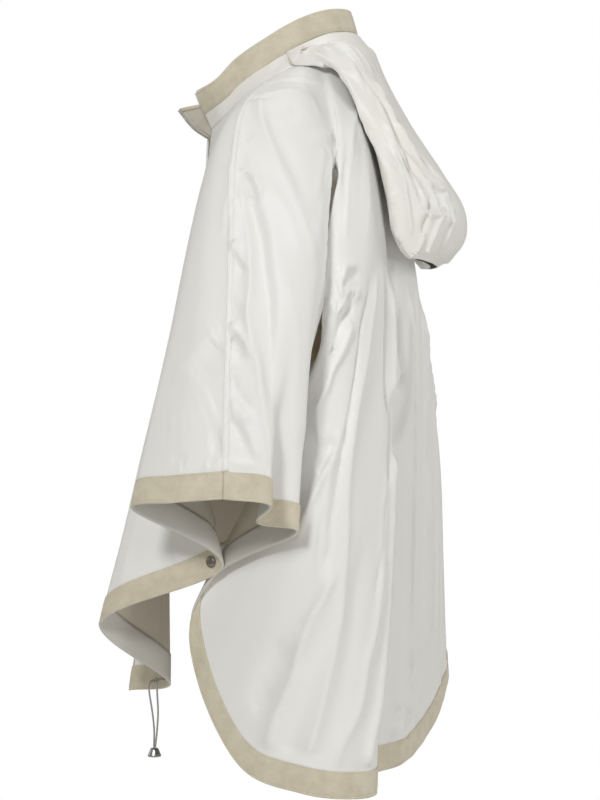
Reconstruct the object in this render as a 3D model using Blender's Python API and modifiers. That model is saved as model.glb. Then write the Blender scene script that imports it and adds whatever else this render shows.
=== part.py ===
"""A hooded cape of satin rain cloth, built as the pieces that a maker cuts and sews.

The wearer faces -Y and the wearer's left is +X. The origin is the middle of the neck,
which holds the cape up. All sizes are metres.
"""

import math
from collections import namedtuple

import bpy
import bmesh
from mathutils import Matrix, Vector

# Walls and seams
SHELL_THICKNESS = 0.0015
BAND_THICKNESS = 0.0012
FACING_THICKNESS = 0.0010
SEAM_GAP = 0.0003
BAND_WIDTH = 0.030
FACING_WIDTH = 0.038
FACING_END = 0.0008

# How finely the panels are cut
COLUMNS_PER_FOLD = 4
PANEL_ROWS = 11
COLLAR_COLUMNS_PER_ROW = 2
COLLAR_LIFT = 0.0018
COLLAR_END = 0.0009
TURN_STEPS = 16

# The zip: closed below ZIP_OPEN_ROW, its two sides apart above it
ZIP_OPEN_ROW = 2
ZIP_CHAIN_WIDTH = 0.0060
ZIP_SIDE_WIDTH = 0.0030
ZIP_THICKNESS = 0.0024
ZIP_EDGE_GAP = 0.0004
ZIP_END_SHARE = 0.25
SLIDER_PLATE = (0.0080, 0.0016, 0.0110)
SLIDER_LUG = (0.0012, 0.0040, 0.0034)
PIN_RADIUS = 0.0007
PIN_OUT = 0.0054
PIN_UP = 0.0020
TAB_EYE_RADIUS = 0.0019
TAB_EYE_HOLE = 0.0011
TAB_WIDTH = 0.0040
TAB_GRIP_WIDTH = 0.0066
TAB_THICKNESS = 0.0014
TAB_LENGTH = 0.0240
TAB_OUT = 0.0046
TAB_SIDE_GAP = 0.0003
ROD_SIDES = 16

# Snap fasteners, eyelets and the drawcord's toggle
SNAP_RADIUS = 0.0066
SNAP_HEIGHT = 0.0022
SNAP_PLACE = 2.84
SNAP_LIFT = 0.0006
EYELET_RADIUS = 0.0034
EYELET_HOLE = 0.0017
EYELET_THICKNESS = 0.0008
EYELET_LIFT = 0.0007
EYELET_PLACES = (0.55, 0.80)
EYELET_UP_BAND = 0.36
CORD_DIAMETER = 0.0022
CORD_STEP = 0.0050
TOGGLE_RADIUS = 0.0080
TOGGLE_HEIGHT = 0.0100

Fold = namedtuple("Fold", "name neck shoulder middle hem")
CollarRow = namedtuple("CollarRow", "seam trim_edge top")
HoodRow = namedtuple("HoodRow", "side_x side_y side_z side_gap back_y back_z back_gap")

# The collar from centre front to centre back on the left: neck seam, lower edge of the
# trim, top edge. The neck column of a fold counts these rows.
COLLAR = [
    CollarRow((0.010, -0.093, -0.064), (0.022, -0.100, -0.047), (0.042, -0.106, -0.024)),
    CollarRow((0.060, -0.067, -0.053), (0.060, -0.070, -0.037), (0.066, -0.078, -0.014)),
    CollarRow((0.088, -0.034, -0.030), (0.080, -0.041, -0.017), (0.075, -0.053, 0.008)),
    CollarRow((0.095, 0.002, -0.012), (0.086, -0.004, 0.005), (0.079, -0.015, 0.032)),
    CollarRow((0.092, 0.031, 0.001), (0.083, 0.024, 0.021), (0.076, 0.014, 0.049)),
    CollarRow((0.076, 0.057, 0.010), (0.070, 0.049, 0.035), (0.064, 0.041, 0.062)),
    CollarRow((0.043, 0.078, 0.016), (0.042, 0.070, 0.043), (0.038, 0.062, 0.070)),
    CollarRow((0.000, 0.086, 0.018), (0.000, 0.080, 0.045), (0.000, 0.072, 0.0735)),
]
# The right front of the collar falls further open
RIGHT_COLLAR_FRONT = CollarRow(
    (0.009, -0.100, -0.073), (0.031, -0.123, -0.056), (0.050, -0.144, -0.032))

# Fold lines of the left front, from the zip to the side seam
LEFT_FRONT = [
    Fold("zip edge", 0.00, (0.0046, -0.106, -0.160), (0.0040, -0.150, -0.420), (0.0040, -0.196, -0.742)),
    Fold("front hollow", 0.45, (0.046, -0.104, -0.160), (0.052, -0.134, -0.420), (0.052, -0.137, -0.727)),
    Fold("front fold", 0.95, (0.100, -0.087, -0.155), (0.122, -0.147, -0.420), (0.140, -0.200, -0.648)),
    Fold("snap hollow", 1.50, (0.146, -0.072, -0.140), (0.180, -0.090, -0.370), (0.200, -0.046, -0.573)),
    Fold("sleeve front", 2.10, (0.180, -0.064, -0.118), (0.232, -0.100, -0.320), (0.260, -0.136, -0.508)),
    Fold("sleeve face", 2.50, (0.199, -0.048, -0.093), (0.262, -0.066, -0.290), (0.294, -0.085, -0.500)),
    Fold("side seam", 2.90, (0.206, -0.028, -0.078), (0.276, -0.027, -0.285), (0.308, -0.027, -0.495)),
]
# Fold lines of the left back, from the side seam to the middle
LEFT_BACK = [
    Fold("side seam", 2.90, (0.206, -0.028, -0.078), (0.276, -0.027, -0.285), (0.308, -0.027, -0.495)),
    Fold("sleeve back face", 3.40, (0.206, 0.015, -0.080), (0.280, 0.022, -0.290), (0.300, 0.022, -0.502)),
    Fold("sleeve tuck", 3.75, (0.200, 0.050, -0.092), (0.273, 0.050, -0.295), (0.268, 0.004, -0.523)),
    Fold("sleeve back", 4.10, (0.190, 0.078, -0.118), (0.261, 0.062, -0.296), (0.250, 0.044, -0.532)),
    Fold("arm hollow", 4.55, (0.168, 0.086, -0.128), (0.190, 0.058, -0.320), (0.187, -0.060, -0.588)),
    Fold("back edge fold", 4.85, (0.172, 0.094, -0.126), (0.212, 0.067, -0.340), (0.165, -0.091, -0.656)),
    Fold("back corner", 5.15, (0.151, 0.109, -0.130), (0.214, 0.080, -0.400), (0.210, -0.024, -0.796)),
    Fold("back side", 5.45, (0.136, 0.112, -0.133), (0.206, 0.097, -0.420), (0.226, 0.044, -0.819)),
    Fold("back side fold", 5.80, (0.117, 0.114, -0.136), (0.176, 0.114, -0.420), (0.212, 0.087, -0.827)),
    Fold("pleat edge", 6.15, (0.092, 0.117, -0.138), (0.125, 0.135, -0.410), (0.165, 0.120, -0.830)),
    Fold("pleat hollow", 6.45, (0.070, 0.119, -0.140), (0.098, 0.124, -0.420), (0.118, 0.108, -0.818)),
    Fold("pleat face", 6.75, (0.040, 0.126, -0.140), (0.056, 0.146, -0.420), (0.070, 0.140, -0.812)),
    Fold("back middle", 7.00, (0.006, 0.130, -0.140), (0.010, 0.150, -0.420), (0.020, 0.151, -0.796)),
]
# The right back hangs fuller than the left. Its rows follow the left's names, with x mirrored
RIGHT_BACK_CHANGES = {
    "pleat face": ((0.040, 0.131, -0.140), (0.048, 0.166, -0.420), (0.048, 0.166, -0.787)),
    "pleat hollow": ((0.068, 0.120, -0.140), (0.100, 0.168, -0.420), (0.120, 0.176, -0.758)),
    "pleat edge": ((0.092, 0.115, -0.138), (0.150, 0.158, -0.420), (0.200, 0.172, -0.735)),
    "back side fold": ((0.117, 0.113, -0.136), (0.190, 0.132, -0.420), (0.245, 0.130, -0.722)),
    "back side": ((0.136, 0.112, -0.133), (0.214, 0.104, -0.410), (0.250, 0.070, -0.702)),
    "back corner": ((0.151, 0.109, -0.130), (0.214, 0.084, -0.390), (0.218, -0.006, -0.700)),
}
# The right front's fold lies nearer the middle and hangs lower
RIGHT_FRONT_CHANGES = {
    "zip edge": ((0.0046, -0.106, -0.160), (0.0040, -0.150, -0.420), (0.0040, -0.196, -0.742)),
    "front hollow": ((0.046, -0.106, -0.160), (0.052, -0.146, -0.420), (0.060, -0.196, -0.738)),
    "snap hollow": ((0.146, -0.072, -0.140), (0.181, -0.090, -0.370), (0.204, -0.045, -0.573)),
}

# The hood hangs as a flat pouch down the back: its side edge and half its depth there,
# then the same at its middle
HOOD = [
    HoodRow(0.094, 0.040, 0.016, 0.0040, 0.0970, 0.026, 0.0040),
    HoodRow(0.118, 0.076, -0.012, 0.0040, 0.1075, -0.002, 0.0050),
    HoodRow(0.124, 0.104, -0.060, 0.0070, 0.1340, -0.064, 0.0120),
    HoodRow(0.117, 0.126, -0.108, 0.0110, 0.1600, -0.120, 0.0230),
    HoodRow(0.108, 0.142, -0.156, 0.0160, 0.1760, -0.165, 0.0330),
    HoodRow(0.100, 0.150, -0.195, 0.0170, 0.1800, -0.197, 0.0300),
    HoodRow(0.094, 0.153, -0.216, 0.0125, 0.1770, -0.216, 0.0200),
    HoodRow(0.090, 0.155, -0.2278, 0.0045, 0.1710, -0.230, 0.0040),
]
HOOD_FACE_COLUMNS = 6
HOOD_SIDE_COLUMNS = 4
HOOD_ROWS = 12
# Its inner layer is sewn to the collar's stand, this far up it and this far out
HOOD_SEAM_UP = 0.0055
HOOD_SEAM_OUT = 0.0021

# The drawcord's two strands leave the eyelets in the left front and end in one toggle
CORD_ROUTES = {
    "drawcord_front": [
        (0.0327, -0.1597, -0.7254), (0.0366, -0.1628, -0.7264), (0.0388, -0.1644, -0.7310),
        (0.0390, -0.1640, -0.7400), (0.0372, -0.1612, -0.7600), (0.0348, -0.1592, -0.7830),
        (0.0338, -0.1595, -0.8055)],
    "drawcord_back": [
        (0.0440, -0.1467, -0.7214), (0.0470, -0.1507, -0.7224), (0.0486, -0.1526, -0.7272),
        (0.0484, -0.1526, -0.7370), (0.0462, -0.1520, -0.7600), (0.0420, -0.1540, -0.7830),
        (0.0382, -0.1573, -0.8055)],
}
TOGGLE_TOP = (0.0360, -0.1585, -0.8058)

SATIN = ("Satin shell", (0.88, 0.87, 0.84), 0.38, 0.0)
HOOD_SATIN = ("Hood satin", (0.88, 0.86, 0.81), 0.40, 0.0)
SUEDE = ("Cream suede", (0.70, 0.64, 0.50), 0.85, 0.0)
FACING_CLOTH = ("Facing satin", (0.72, 0.71, 0.68), 0.45, 0.0)
STEEL = ("Zip steel", (0.55, 0.55, 0.54), 0.32, 1.0)
SNAP_METAL = ("Snap metal", (0.30, 0.29, 0.27), 0.35, 1.0)
CORD_GREY = ("Grey cord", (0.45, 0.45, 0.45), 0.70, 0.0)


def clear_scene():
    for old in list(bpy.data.objects):
        bpy.data.objects.remove(old, do_unlink=True)


def material(settings):
    name, colour, roughness, metallic = settings
    made = bpy.data.materials.get(name)
    if made:
        return made
    made = bpy.data.materials.new(name)
    made.use_nodes = True
    surface = made.node_tree.nodes["Principled BSDF"]
    surface.inputs["Base Color"].default_value = (*colour, 1.0)
    surface.inputs["Roughness"].default_value = roughness
    surface.inputs["Metallic"].default_value = metallic
    return made


def add_mesh(name, mesh, settings, collection):
    piece = bpy.data.objects.new(name, mesh)
    piece.data.materials.append(material(settings))
    for face in piece.data.polygons:
        face.use_smooth = True
    collection.objects.link(piece)
    return piece


def on_curve(points, position):
    """A point on the smooth curve through the points, where position counts them from 0."""
    last = len(points) - 1
    index = min(int(position), last - 1)
    share = position - index
    second, third = Vector(points[index]), Vector(points[index + 1])
    first = Vector(points[index - 1]) if index > 0 else second * 2 - third
    fourth = Vector(points[index + 2]) if index + 2 <= last else third * 2 - second
    knots = [0.0]
    for start, end in ((first, second), (second, third), (third, fourth)):
        knots.append(knots[-1] + max((end - start).length, 1e-6) ** 0.5)
    at = knots[1] + share * (knots[2] - knots[1])

    def blend(start, end, low, high):
        return start * ((high - at) / (high - low)) + end * ((at - low) / (high - low))

    a = blend(first, second, knots[0], knots[1])
    b = blend(second, third, knots[1], knots[2])
    c = blend(third, fourth, knots[2], knots[3])
    ab = blend(a, b, knots[0], knots[2])
    bc = blend(b, c, knots[1], knots[3])
    return blend(ab, bc, knots[1], knots[2])


def mirrored(point):
    return (-point[0], point[1], point[2])


def collar_rows(side):
    """The collar's rows on one side, left = 1 and right = -1."""
    if side > 0:
        return COLLAR
    rows = [RIGHT_COLLAR_FRONT] + COLLAR[1:]
    return [CollarRow(*(mirrored(point) for point in row)) for row in rows]


def side_folds(folds, changes):
    """The folds of the right side: the left's, mirrored, with the rows that differ."""
    found = []
    for fold in folds:
        shoulder, middle, hem = changes.get(fold.name, (fold.shoulder, fold.middle, fold.hem))
        found.append(Fold(fold.name, fold.neck, mirrored(shoulder), mirrored(middle), mirrored(hem)))
    return found


def fold_line(fold, side):
    """The rows' places down one fold line, from the neck seam to the hem."""
    seam = on_curve([row.seam for row in collar_rows(side)], fold.neck)
    corners = [seam, fold.shoulder, fold.middle, fold.hem]
    steps = 60
    line = [on_curve(corners, 3 * step / steps) for step in range(steps + 1)]
    reach = [0.0]
    for start, end in zip(line, line[1:]):
        reach.append(reach[-1] + (end - start).length)
    length = reach[-1]
    wanted = [(length - FACING_WIDTH) * row / PANEL_ROWS for row in range(PANEL_ROWS + 1)]
    wanted += [length - BAND_WIDTH, length]
    placed = []
    for distance in wanted:
        index = max(i for i in range(steps) if reach[i] <= distance + 1e-9)
        share = (distance - reach[index]) / (reach[index + 1] - reach[index])
        placed.append(line[index].lerp(line[index + 1], min(share, 1.0)))
    return placed


def panel_grid(lines):
    """Rows of points across the fold lines, with smooth curves from fold to fold."""
    grid = []
    intervals = len(lines) - 1
    for row in range(len(lines[0])):
        across = [line[row] for line in lines]
        count = intervals * COLUMNS_PER_FOLD
        grid.append([on_curve(across, intervals * column / count) for column in range(count + 1)])
    return grid


def narrow_ends(grid, amount):
    """Draws the first and last columns in, for the gap at a seam."""
    for row in grid:
        row[0] = row[0] + (row[1] - row[0]).normalized() * amount
        row[-1] = row[-1] + (row[-2] - row[-1]).normalized() * amount


def grid_mesh(name, grid):
    """An open sheet through the rows of points."""
    sheet = bmesh.new()
    rows = [[sheet.verts.new(point) for point in row] for row in grid]
    for upper, lower in zip(rows, rows[1:]):
        for column in range(len(upper) - 1):
            a, b, c, d = upper[column], upper[column + 1], lower[column + 1], lower[column]
            sheet.faces.new((a, d, b))
            sheet.faces.new((b, d, c))
    mesh = bpy.data.meshes.new(name)
    sheet.normal_update()
    sheet.to_mesh(mesh)
    sheet.free()
    return mesh


def sheet_normals(grid):
    """The outward direction at each point of a grid."""
    mesh = grid_mesh("normals", grid)
    columns = len(grid[0])
    outward = [vertex.normal.copy() for vertex in mesh.vertices]
    bpy.data.meshes.remove(mesh)
    return [outward[start:start + columns] for start in range(0, len(outward), columns)]


def moved_out(grid, distance):
    """The grid's points, each moved out of the cloth by a distance."""
    normals = sheet_normals(grid)
    return [[point + normal * distance for point, normal in zip(row, outward)]
            for row, outward in zip(grid, normals)]


def thicken(piece, thickness, offset):
    """Gives an open sheet its wall; offset is 0 for both ways, 1 for out and -1 for in."""
    wall = piece.modifiers.new("Wall", "SOLIDIFY")
    wall.thickness = thickness
    wall.offset = offset
    wall.use_even_offset = False
    wall.use_rim = True


def add_panel(name, grid, settings, collection):
    piece = add_mesh(name, grid_mesh(name, grid), settings, collection)
    thicken(piece, SHELL_THICKNESS, 0.0)
    return piece


def add_hem_trim(name, grid, collection):
    """The suede band on the outside of a hem and the facing on its inside."""
    reach = SHELL_THICKNESS / 2 + SEAM_GAP
    band = add_mesh(f"{name}_hem_band", grid_mesh(name, moved_out(grid, reach)[-2:]), SUEDE, collection)
    thicken(band, BAND_THICKNESS, 1.0)
    lining = moved_out(grid, -reach)[-3:]
    narrow_ends(lining, FACING_END)
    facing = add_mesh(f"{name}_hem_facing", grid_mesh(name, lining), FACING_CLOTH, collection)
    thicken(facing, FACING_THICKNESS, -1.0)


def build_front(side, collection):
    folds = LEFT_FRONT if side > 0 else side_folds(LEFT_FRONT, RIGHT_FRONT_CHANGES)
    lines = [fold_line(fold, side) for fold in folds]
    if side < 0:
        lines.reverse()
    grid = panel_grid(lines)
    narrow_ends(grid, SEAM_GAP)
    name = "front_left" if side > 0 else "front_right"
    add_panel(name, grid, SATIN, collection)
    add_hem_trim(name, grid, collection)
    return grid


def build_back(collection):
    """One panel from side seam to side seam, with its pleats."""
    left = [fold_line(fold, 1) for fold in LEFT_BACK]
    right = [fold_line(fold, -1) for fold in side_folds(LEFT_BACK, RIGHT_BACK_CHANGES)]
    right.reverse()
    grid = panel_grid(left[:-1] + right[1:])
    narrow_ends(grid, SEAM_GAP)
    add_panel("back", grid, SATIN, collection)
    add_hem_trim("back", grid, collection)


def collar_line(column):
    """One edge of the collar, from its left front round the neck to its right front."""
    count = (len(COLLAR) - 1) * COLLAR_COLUMNS_PER_ROW
    places = [(len(COLLAR) - 1) * step / count for step in range(count + 1)]
    left, right = ([getattr(row, column) for row in collar_rows(side)] for side in (1, -1))
    whole = left + right[-2::-1]
    return [on_curve(whole, place) for place in places + [p + len(COLLAR) - 1 for p in places[1:]]]


def build_collar(collection):
    """The collar's cloth stand, its suede trim and its inner facing."""
    seam, edge, top = (collar_line(column) for column in ("seam", "trim_edge", "top"))
    raised = [low + (high - low).normalized() * COLLAR_LIFT for low, high in zip(seam, edge)]
    grid = [top, edge, raised]
    narrow_ends(grid, COLLAR_END)
    add_panel("collar_stand", grid, HOOD_SATIN, collection)
    reach = SHELL_THICKNESS / 2 + SEAM_GAP
    trim = add_mesh("collar_trim", grid_mesh("trim", moved_out(grid, reach)[:2]), SUEDE, collection)
    thicken(trim, BAND_THICKNESS, 1.0)
    facing = add_mesh("collar_facing", grid_mesh("facing", moved_out(grid, -reach)), SUEDE, collection)
    thicken(facing, FACING_THICKNESS, -1.0)


def hood_section(row, side):
    """One level of a hood panel: its outer face, round its side and back along its inner face."""
    near = Vector((row.side_x, row.side_y, row.side_z))
    middle = Vector((0.0, row.back_y, row.back_z))
    spots, outward, gaps = [], [], []
    for step in range(HOOD_FACE_COLUMNS + 1):
        angle = math.pi / 2 * step / HOOD_FACE_COLUMNS
        spot = middle.lerp(near, 1 - math.cos(angle))
        spot.x = near.x * math.sin(angle)
        spots.append(spot)
        depth = max(middle.y - near.y, 0.010)
        outward.append(Vector((depth * math.sin(angle), near.x * math.cos(angle), 0)).normalized())
        gaps.append(row.back_gap + (row.side_gap - row.back_gap) * math.sin(angle) ** 2)
    outer = [spot + way * gap for spot, way, gap in zip(spots, outward, gaps)]
    inner = [spot - way * gap for spot, way, gap in zip(spots, outward, gaps)]
    end = []
    for step in range(1, HOOD_SIDE_COLUMNS):
        turn = math.pi * step / HOOD_SIDE_COLUMNS
        end.append(near + Vector((math.cos(turn), -math.sin(turn), 0)) * row.side_gap)
    points = outer + end + inner[::-1]
    if side < 0:
        points = [Vector(mirrored(point)) for point in points]
        points.reverse()
    return points


def hood_seam():
    """The hood's inner edge where it is sewn on, from the middle to the left side."""
    seam, edge = collar_line("seam"), collar_line("trim_edge")
    middle = len(seam) // 2
    found = []
    for index in range(middle, middle - HOOD_FACE_COLUMNS - 1, -1):
        up = (edge[index] - seam[index]).normalized()
        out = up.cross(seam[index - 1] - seam[index + 1]).normalized()
        found.append(seam[index] + up * HOOD_SEAM_UP + out * HOOD_SEAM_OUT)
    return found


def build_hood(side, collection):
    levels = [hood_section(row, side) for row in HOOD]
    inner = hood_seam()
    outer = hood_section(HOOD[0], 1)[:HOOD_FACE_COLUMNS + 1]
    end = [outer[-1].lerp(inner[-1], step / HOOD_SIDE_COLUMNS) for step in range(1, HOOD_SIDE_COLUMNS)]
    levels[0] = outer + end + inner[::-1]
    if side < 0:
        levels[0] = [Vector(mirrored(point)) for point in reversed(levels[0])]
    columns = len(levels[0])
    grid = [[None] * columns for _ in range(HOOD_ROWS + 1)]
    for column in range(columns):
        down = [level[column] for level in levels]
        for row in range(HOOD_ROWS + 1):
            grid[row][column] = on_curve(down, (len(levels) - 1) * row / HOOD_ROWS)
    narrow_ends_sideways(grid, side)
    grid = [list(reversed(row)) for row in grid]
    add_panel("hood_left" if side > 0 else "hood_right", grid, HOOD_SATIN, collection)


def narrow_ends_sideways(grid, side):
    for row in grid:
        row[0].x = side * SEAM_GAP
        row[-1].x = side * SEAM_GAP


def place_on_hem(grid, place, up_band, distance):
    """A point that far out of the cloth at a place across a hem band, and the way out there."""
    upper, lower = grid[-2], grid[-1]
    across = place * COLUMNS_PER_FOLD
    column, share = int(across), across - int(across)
    normals = sheet_normals(grid)
    spot = lower[column].lerp(lower[column + 1], share).lerp(
        upper[column].lerp(upper[column + 1], share), up_band)
    way = normals[-1][column].lerp(normals[-1][column + 1], share).lerp(
        normals[-2][column].lerp(normals[-2][column + 1], share), up_band).normalized()
    return spot + way * distance, way


def turned(name, profile, settings, collection):
    """A closed solid turned about its own Z axis from a profile of radius and height."""
    outline = bmesh.new()
    ring = profile[0] == profile[-1]
    points = [outline.verts.new((radius, 0, height)) for radius, height in profile[:-1 if ring else None]]
    points += points[:1] if ring else []
    for start, end in zip(points, points[1:]):
        outline.edges.new((start, end))
    mesh = bpy.data.meshes.new(name)
    outline.to_mesh(mesh)
    outline.free()
    piece = add_mesh(name, mesh, settings, collection)
    screw = piece.modifiers.new("Turn", "SCREW")
    screw.steps = TURN_STEPS
    screw.render_steps = TURN_STEPS
    screw.use_merge_vertices = True
    screw.merge_threshold = 0.00001
    screw.use_normal_calculate = True
    return piece


def stand_on(piece, spot, way):
    piece.location = spot
    piece.rotation_euler = way.to_track_quat("Z", "Y").to_euler()


def build_snap(side, grid, collection):
    """A bare domed cap on the front's trim, over the point where the back is snapped to it."""
    place = SNAP_PLACE if side > 0 else len(LEFT_FRONT) - 1 - SNAP_PLACE
    lift = SHELL_THICKNESS / 2 + SEAM_GAP + BAND_THICKNESS + SNAP_LIFT
    spot, way = place_on_hem(grid, place, 0.5, lift)
    profile = [
        (0, 0), (SNAP_RADIUS * 0.92, 0), (SNAP_RADIUS, SNAP_HEIGHT * 0.3), (SNAP_RADIUS, SNAP_HEIGHT * 0.6),
        (SNAP_RADIUS * 0.86, SNAP_HEIGHT * 0.9), (SNAP_RADIUS * 0.5, SNAP_HEIGHT), (0, SNAP_HEIGHT)]
    cap = turned("snap_cap_left" if side > 0 else "snap_cap_right", profile, SNAP_METAL, collection)
    stand_on(cap, spot, way)


def build_eyelets(grid, collection):
    lift = SHELL_THICKNESS / 2 + SEAM_GAP + BAND_THICKNESS + EYELET_LIFT
    for number, place in enumerate(EYELET_PLACES, 1):
        spot, way = place_on_hem(grid, place, EYELET_UP_BAND, lift)
        profile = [
            (EYELET_HOLE, 0), (EYELET_HOLE, EYELET_THICKNESS), (EYELET_RADIUS * 0.8, EYELET_THICKNESS),
            (EYELET_RADIUS, EYELET_THICKNESS * 0.4), (EYELET_RADIUS, 0), (EYELET_HOLE, 0)]
        stand_on(turned(f"eyelet_{number}", profile, STEEL, collection), spot, way)


def build_cords(collection):
    for name, corners in CORD_ROUTES.items():
        dense = [on_curve(corners, (len(corners) - 1) * step / 100) for step in range(101)]
        length = sum((end - start).length for start, end in zip(dense, dense[1:]))
        count = round(length / CORD_STEP)
        curve = bpy.data.curves.new(name, "CURVE")
        curve.dimensions = "3D"
        curve.bevel_depth = CORD_DIAMETER / 2
        curve.bevel_resolution = 2
        curve.use_fill_caps = True
        spline = curve.splines.new("POLY")
        spline.points.add(count)
        for step, point in enumerate(spline.points):
            point.co = (*on_curve(corners, (len(corners) - 1) * step / count), 1)
        cord = bpy.data.objects.new(name, curve)
        curve.materials.append(material(CORD_GREY))
        collection.objects.link(cord)


def build_toggle(collection):
    """The metal bell that both strands of the drawcord run into."""
    profile = [
        (0, -TOGGLE_HEIGHT), (TOGGLE_RADIUS, -TOGGLE_HEIGHT), (TOGGLE_RADIUS, -TOGGLE_HEIGHT * 0.7),
        (TOGGLE_RADIUS * 0.85, -TOGGLE_HEIGHT * 0.3), (TOGGLE_RADIUS * 0.55, 0), (0, 0)]
    toggle = turned("cord_toggle", profile, STEEL, collection)
    toggle.location = TOGGLE_TOP


def edge_path(grid, column, neighbour):
    """A panel edge's points with the way out of the panel's side at each."""
    return [(row[column], (row[column] - row[neighbour]).normalized()) for row in grid]


def build_zip(left, right, collection):
    """The closed chain down the front and the two open sides up to the collar's top."""
    chain = []
    for left_row, right_row in zip(left[ZIP_OPEN_ROW:], right[ZIP_OPEN_ROW:]):
        middle = (left_row[0] + right_row[-1]) / 2
        half = Vector((ZIP_CHAIN_WIDTH / 2, 0, 0))
        chain.append([middle - half, middle + half])
    chain[-1] = [low + (high - low) * ZIP_END_SHARE for high, low in zip(chain[-2], chain[-1])]
    chain[0] = [high + (low - high) * ZIP_END_SHARE for high, low in zip(chain[0], chain[1])]
    piece = add_mesh("zip_chain", grid_mesh("zip_chain", chain), STEEL, collection)
    thicken(piece, ZIP_THICKNESS, 0.0)
    for side, grid in ((1, left), (-1, right)):
        column, neighbour = (0, 1) if side > 0 else (-1, -2)
        panel = edge_path(grid[:ZIP_OPEN_ROW + 1], column, neighbour)
        front = collar_rows(side)
        collar = [(Vector(spot), (Vector(spot) - Vector(near)).normalized())
                  for spot, near in zip(front[0][:0:-1], front[1][:0:-1])]
        path = collar + panel
        strip = []
        for spot, way in path:
            inner = spot + way * ZIP_EDGE_GAP
            outer = spot + way * (ZIP_EDGE_GAP + ZIP_SIDE_WIDTH)
            strip.append([outer, inner] if side > 0 else [inner, outer])
        strip[-1] = [low + (high - low) * ZIP_END_SHARE for high, low in zip(strip[-2], strip[-1])]
        name = "zip_side_left" if side > 0 else "zip_side_right"
        thicken(add_mesh(name, grid_mesh(name, strip), STEEL, collection), ZIP_THICKNESS, 0.0)


def box(name, size, centre, collection, settings):
    """A box of its own, with its size and centre in the slider's frame."""
    shape = bmesh.new()
    bmesh.ops.create_cube(shape, size=1.0)
    bmesh.ops.scale(shape, vec=size, verts=shape.verts)
    bmesh.ops.translate(shape, vec=centre, verts=shape.verts)
    mesh = bpy.data.meshes.new(name)
    shape.to_mesh(mesh)
    shape.free()
    piece = bpy.data.objects.new(name, mesh)
    piece.data.materials.append(material(settings))
    collection.objects.link(piece)
    return piece


def rod(name, radius, length, centre, collection, settings):
    """A round bar along X, with its centre in the slider's frame."""
    shape = bmesh.new()
    bmesh.ops.create_cone(
        shape, cap_ends=True, segments=ROD_SIDES, radius1=radius, radius2=radius, depth=length)
    bmesh.ops.rotate(shape, cent=(0, 0, 0), matrix=Matrix.Rotation(math.pi / 2, 3, "Y"), verts=shape.verts)
    bmesh.ops.translate(shape, vec=centre, verts=shape.verts)
    mesh = bpy.data.meshes.new(name)
    shape.to_mesh(mesh)
    shape.free()
    piece = bpy.data.objects.new(name, mesh)
    piece.data.materials.append(material(settings))
    collection.objects.link(piece)
    return piece


def combine(target, tool, operation):
    """Joins or cuts with another shape, which is kept in the cutters' collection."""
    step = target.modifiers.new(operation.title(), "BOOLEAN")
    step.operation = operation
    step.solver = "EXACT"
    step.object = tool
    tool.hide_render = True
    tool.display_type = "WIRE"


def build_slider(left, right, collection, cutters):
    """The slider where the zip opens, and its pull tab on a pin, free to swing."""
    spot = (left[ZIP_OPEN_ROW][0] + right[ZIP_OPEN_ROW][-1]) / 2
    below = (left[ZIP_OPEN_ROW + 1][0] + right[ZIP_OPEN_ROW + 1][-1]) / 2
    slope = math.atan2(spot.y - below.y, spot.z - below.z)
    frame = bpy.data.objects.new("slider_frame", None)
    frame.location = spot
    frame.rotation_euler = (-slope, 0, 0)
    collection.objects.link(frame)

    face = -(ZIP_THICKNESS / 2 + SEAM_GAP)
    plate = box("zip_slider", SLIDER_PLATE, (0, face - SLIDER_PLATE[1] / 2, 0), collection, STEEL)
    front = face - SLIDER_PLATE[1]
    pin = Vector((0, -PIN_OUT, PIN_UP))
    lug_x = TAB_WIDTH / 2 + TAB_SIDE_GAP + SLIDER_LUG[0] / 2
    for side in (1, -1):
        centre = (side * lug_x, front - SLIDER_LUG[1] / 2 + 0.0002, PIN_UP)
        combine(plate, box(f"lug_{side}", SLIDER_LUG, centre, cutters, STEEL), "UNION")
    combine(plate, rod("pin", PIN_RADIUS, 2 * lug_x, pin, cutters, STEEL), "UNION")

    tab = rod("zip_pull", TAB_EYE_RADIUS, TAB_WIDTH, (0, 0, 0), collection, STEEL)
    out = PIN_OUT - TAB_OUT
    stem = (TAB_WIDTH - 0.0002, TAB_THICKNESS, TAB_LENGTH)
    stem_centre = (0, out, -TAB_LENGTH / 2 - PIN_RADIUS)
    combine(tab, box("pull_stem", stem, stem_centre, cutters, STEEL), "UNION")
    grip = (TAB_GRIP_WIDTH, TAB_THICKNESS + 0.0004, TAB_LENGTH * 0.6)
    grip_centre = (0, out, -TAB_LENGTH * 0.7 - PIN_RADIUS - 0.0004)
    combine(tab, box("pull_grip", grip, grip_centre, cutters, STEEL), "UNION")
    combine(tab, rod("pull_hole", TAB_EYE_HOLE, TAB_WIDTH * 2, (0, 0, 0), cutters, STEEL), "DIFFERENCE")
    for piece in list(cutters.objects):
        piece.parent = tab if piece.name.startswith("pull") else frame
    plate.parent = frame
    tab.parent = frame
    tab.location = pin


def main():
    clear_scene()
    cape = bpy.data.collections.new("Hooded cape")
    cutters = bpy.data.collections.new("Joined and cut shapes")
    for collection in (cape, cutters):
        bpy.context.scene.collection.children.link(collection)
    fronts = {side: build_front(side, cape) for side in (1, -1)}
    build_back(cape)
    build_collar(cape)
    for side in (1, -1):
        build_hood(side, cape)
        build_snap(side, fronts[side], cape)
    build_zip(fronts[1], fronts[-1], cape)
    build_slider(fronts[1], fronts[-1], cape, cutters)
    build_eyelets(fronts[1], cape)
    build_cords(cape)
    build_toggle(cape)


main()
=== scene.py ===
import math
import random
from collections import namedtuple

import bpy
import bmesh
import numpy as np
from mathutils import Matrix, Vector, noise


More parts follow.
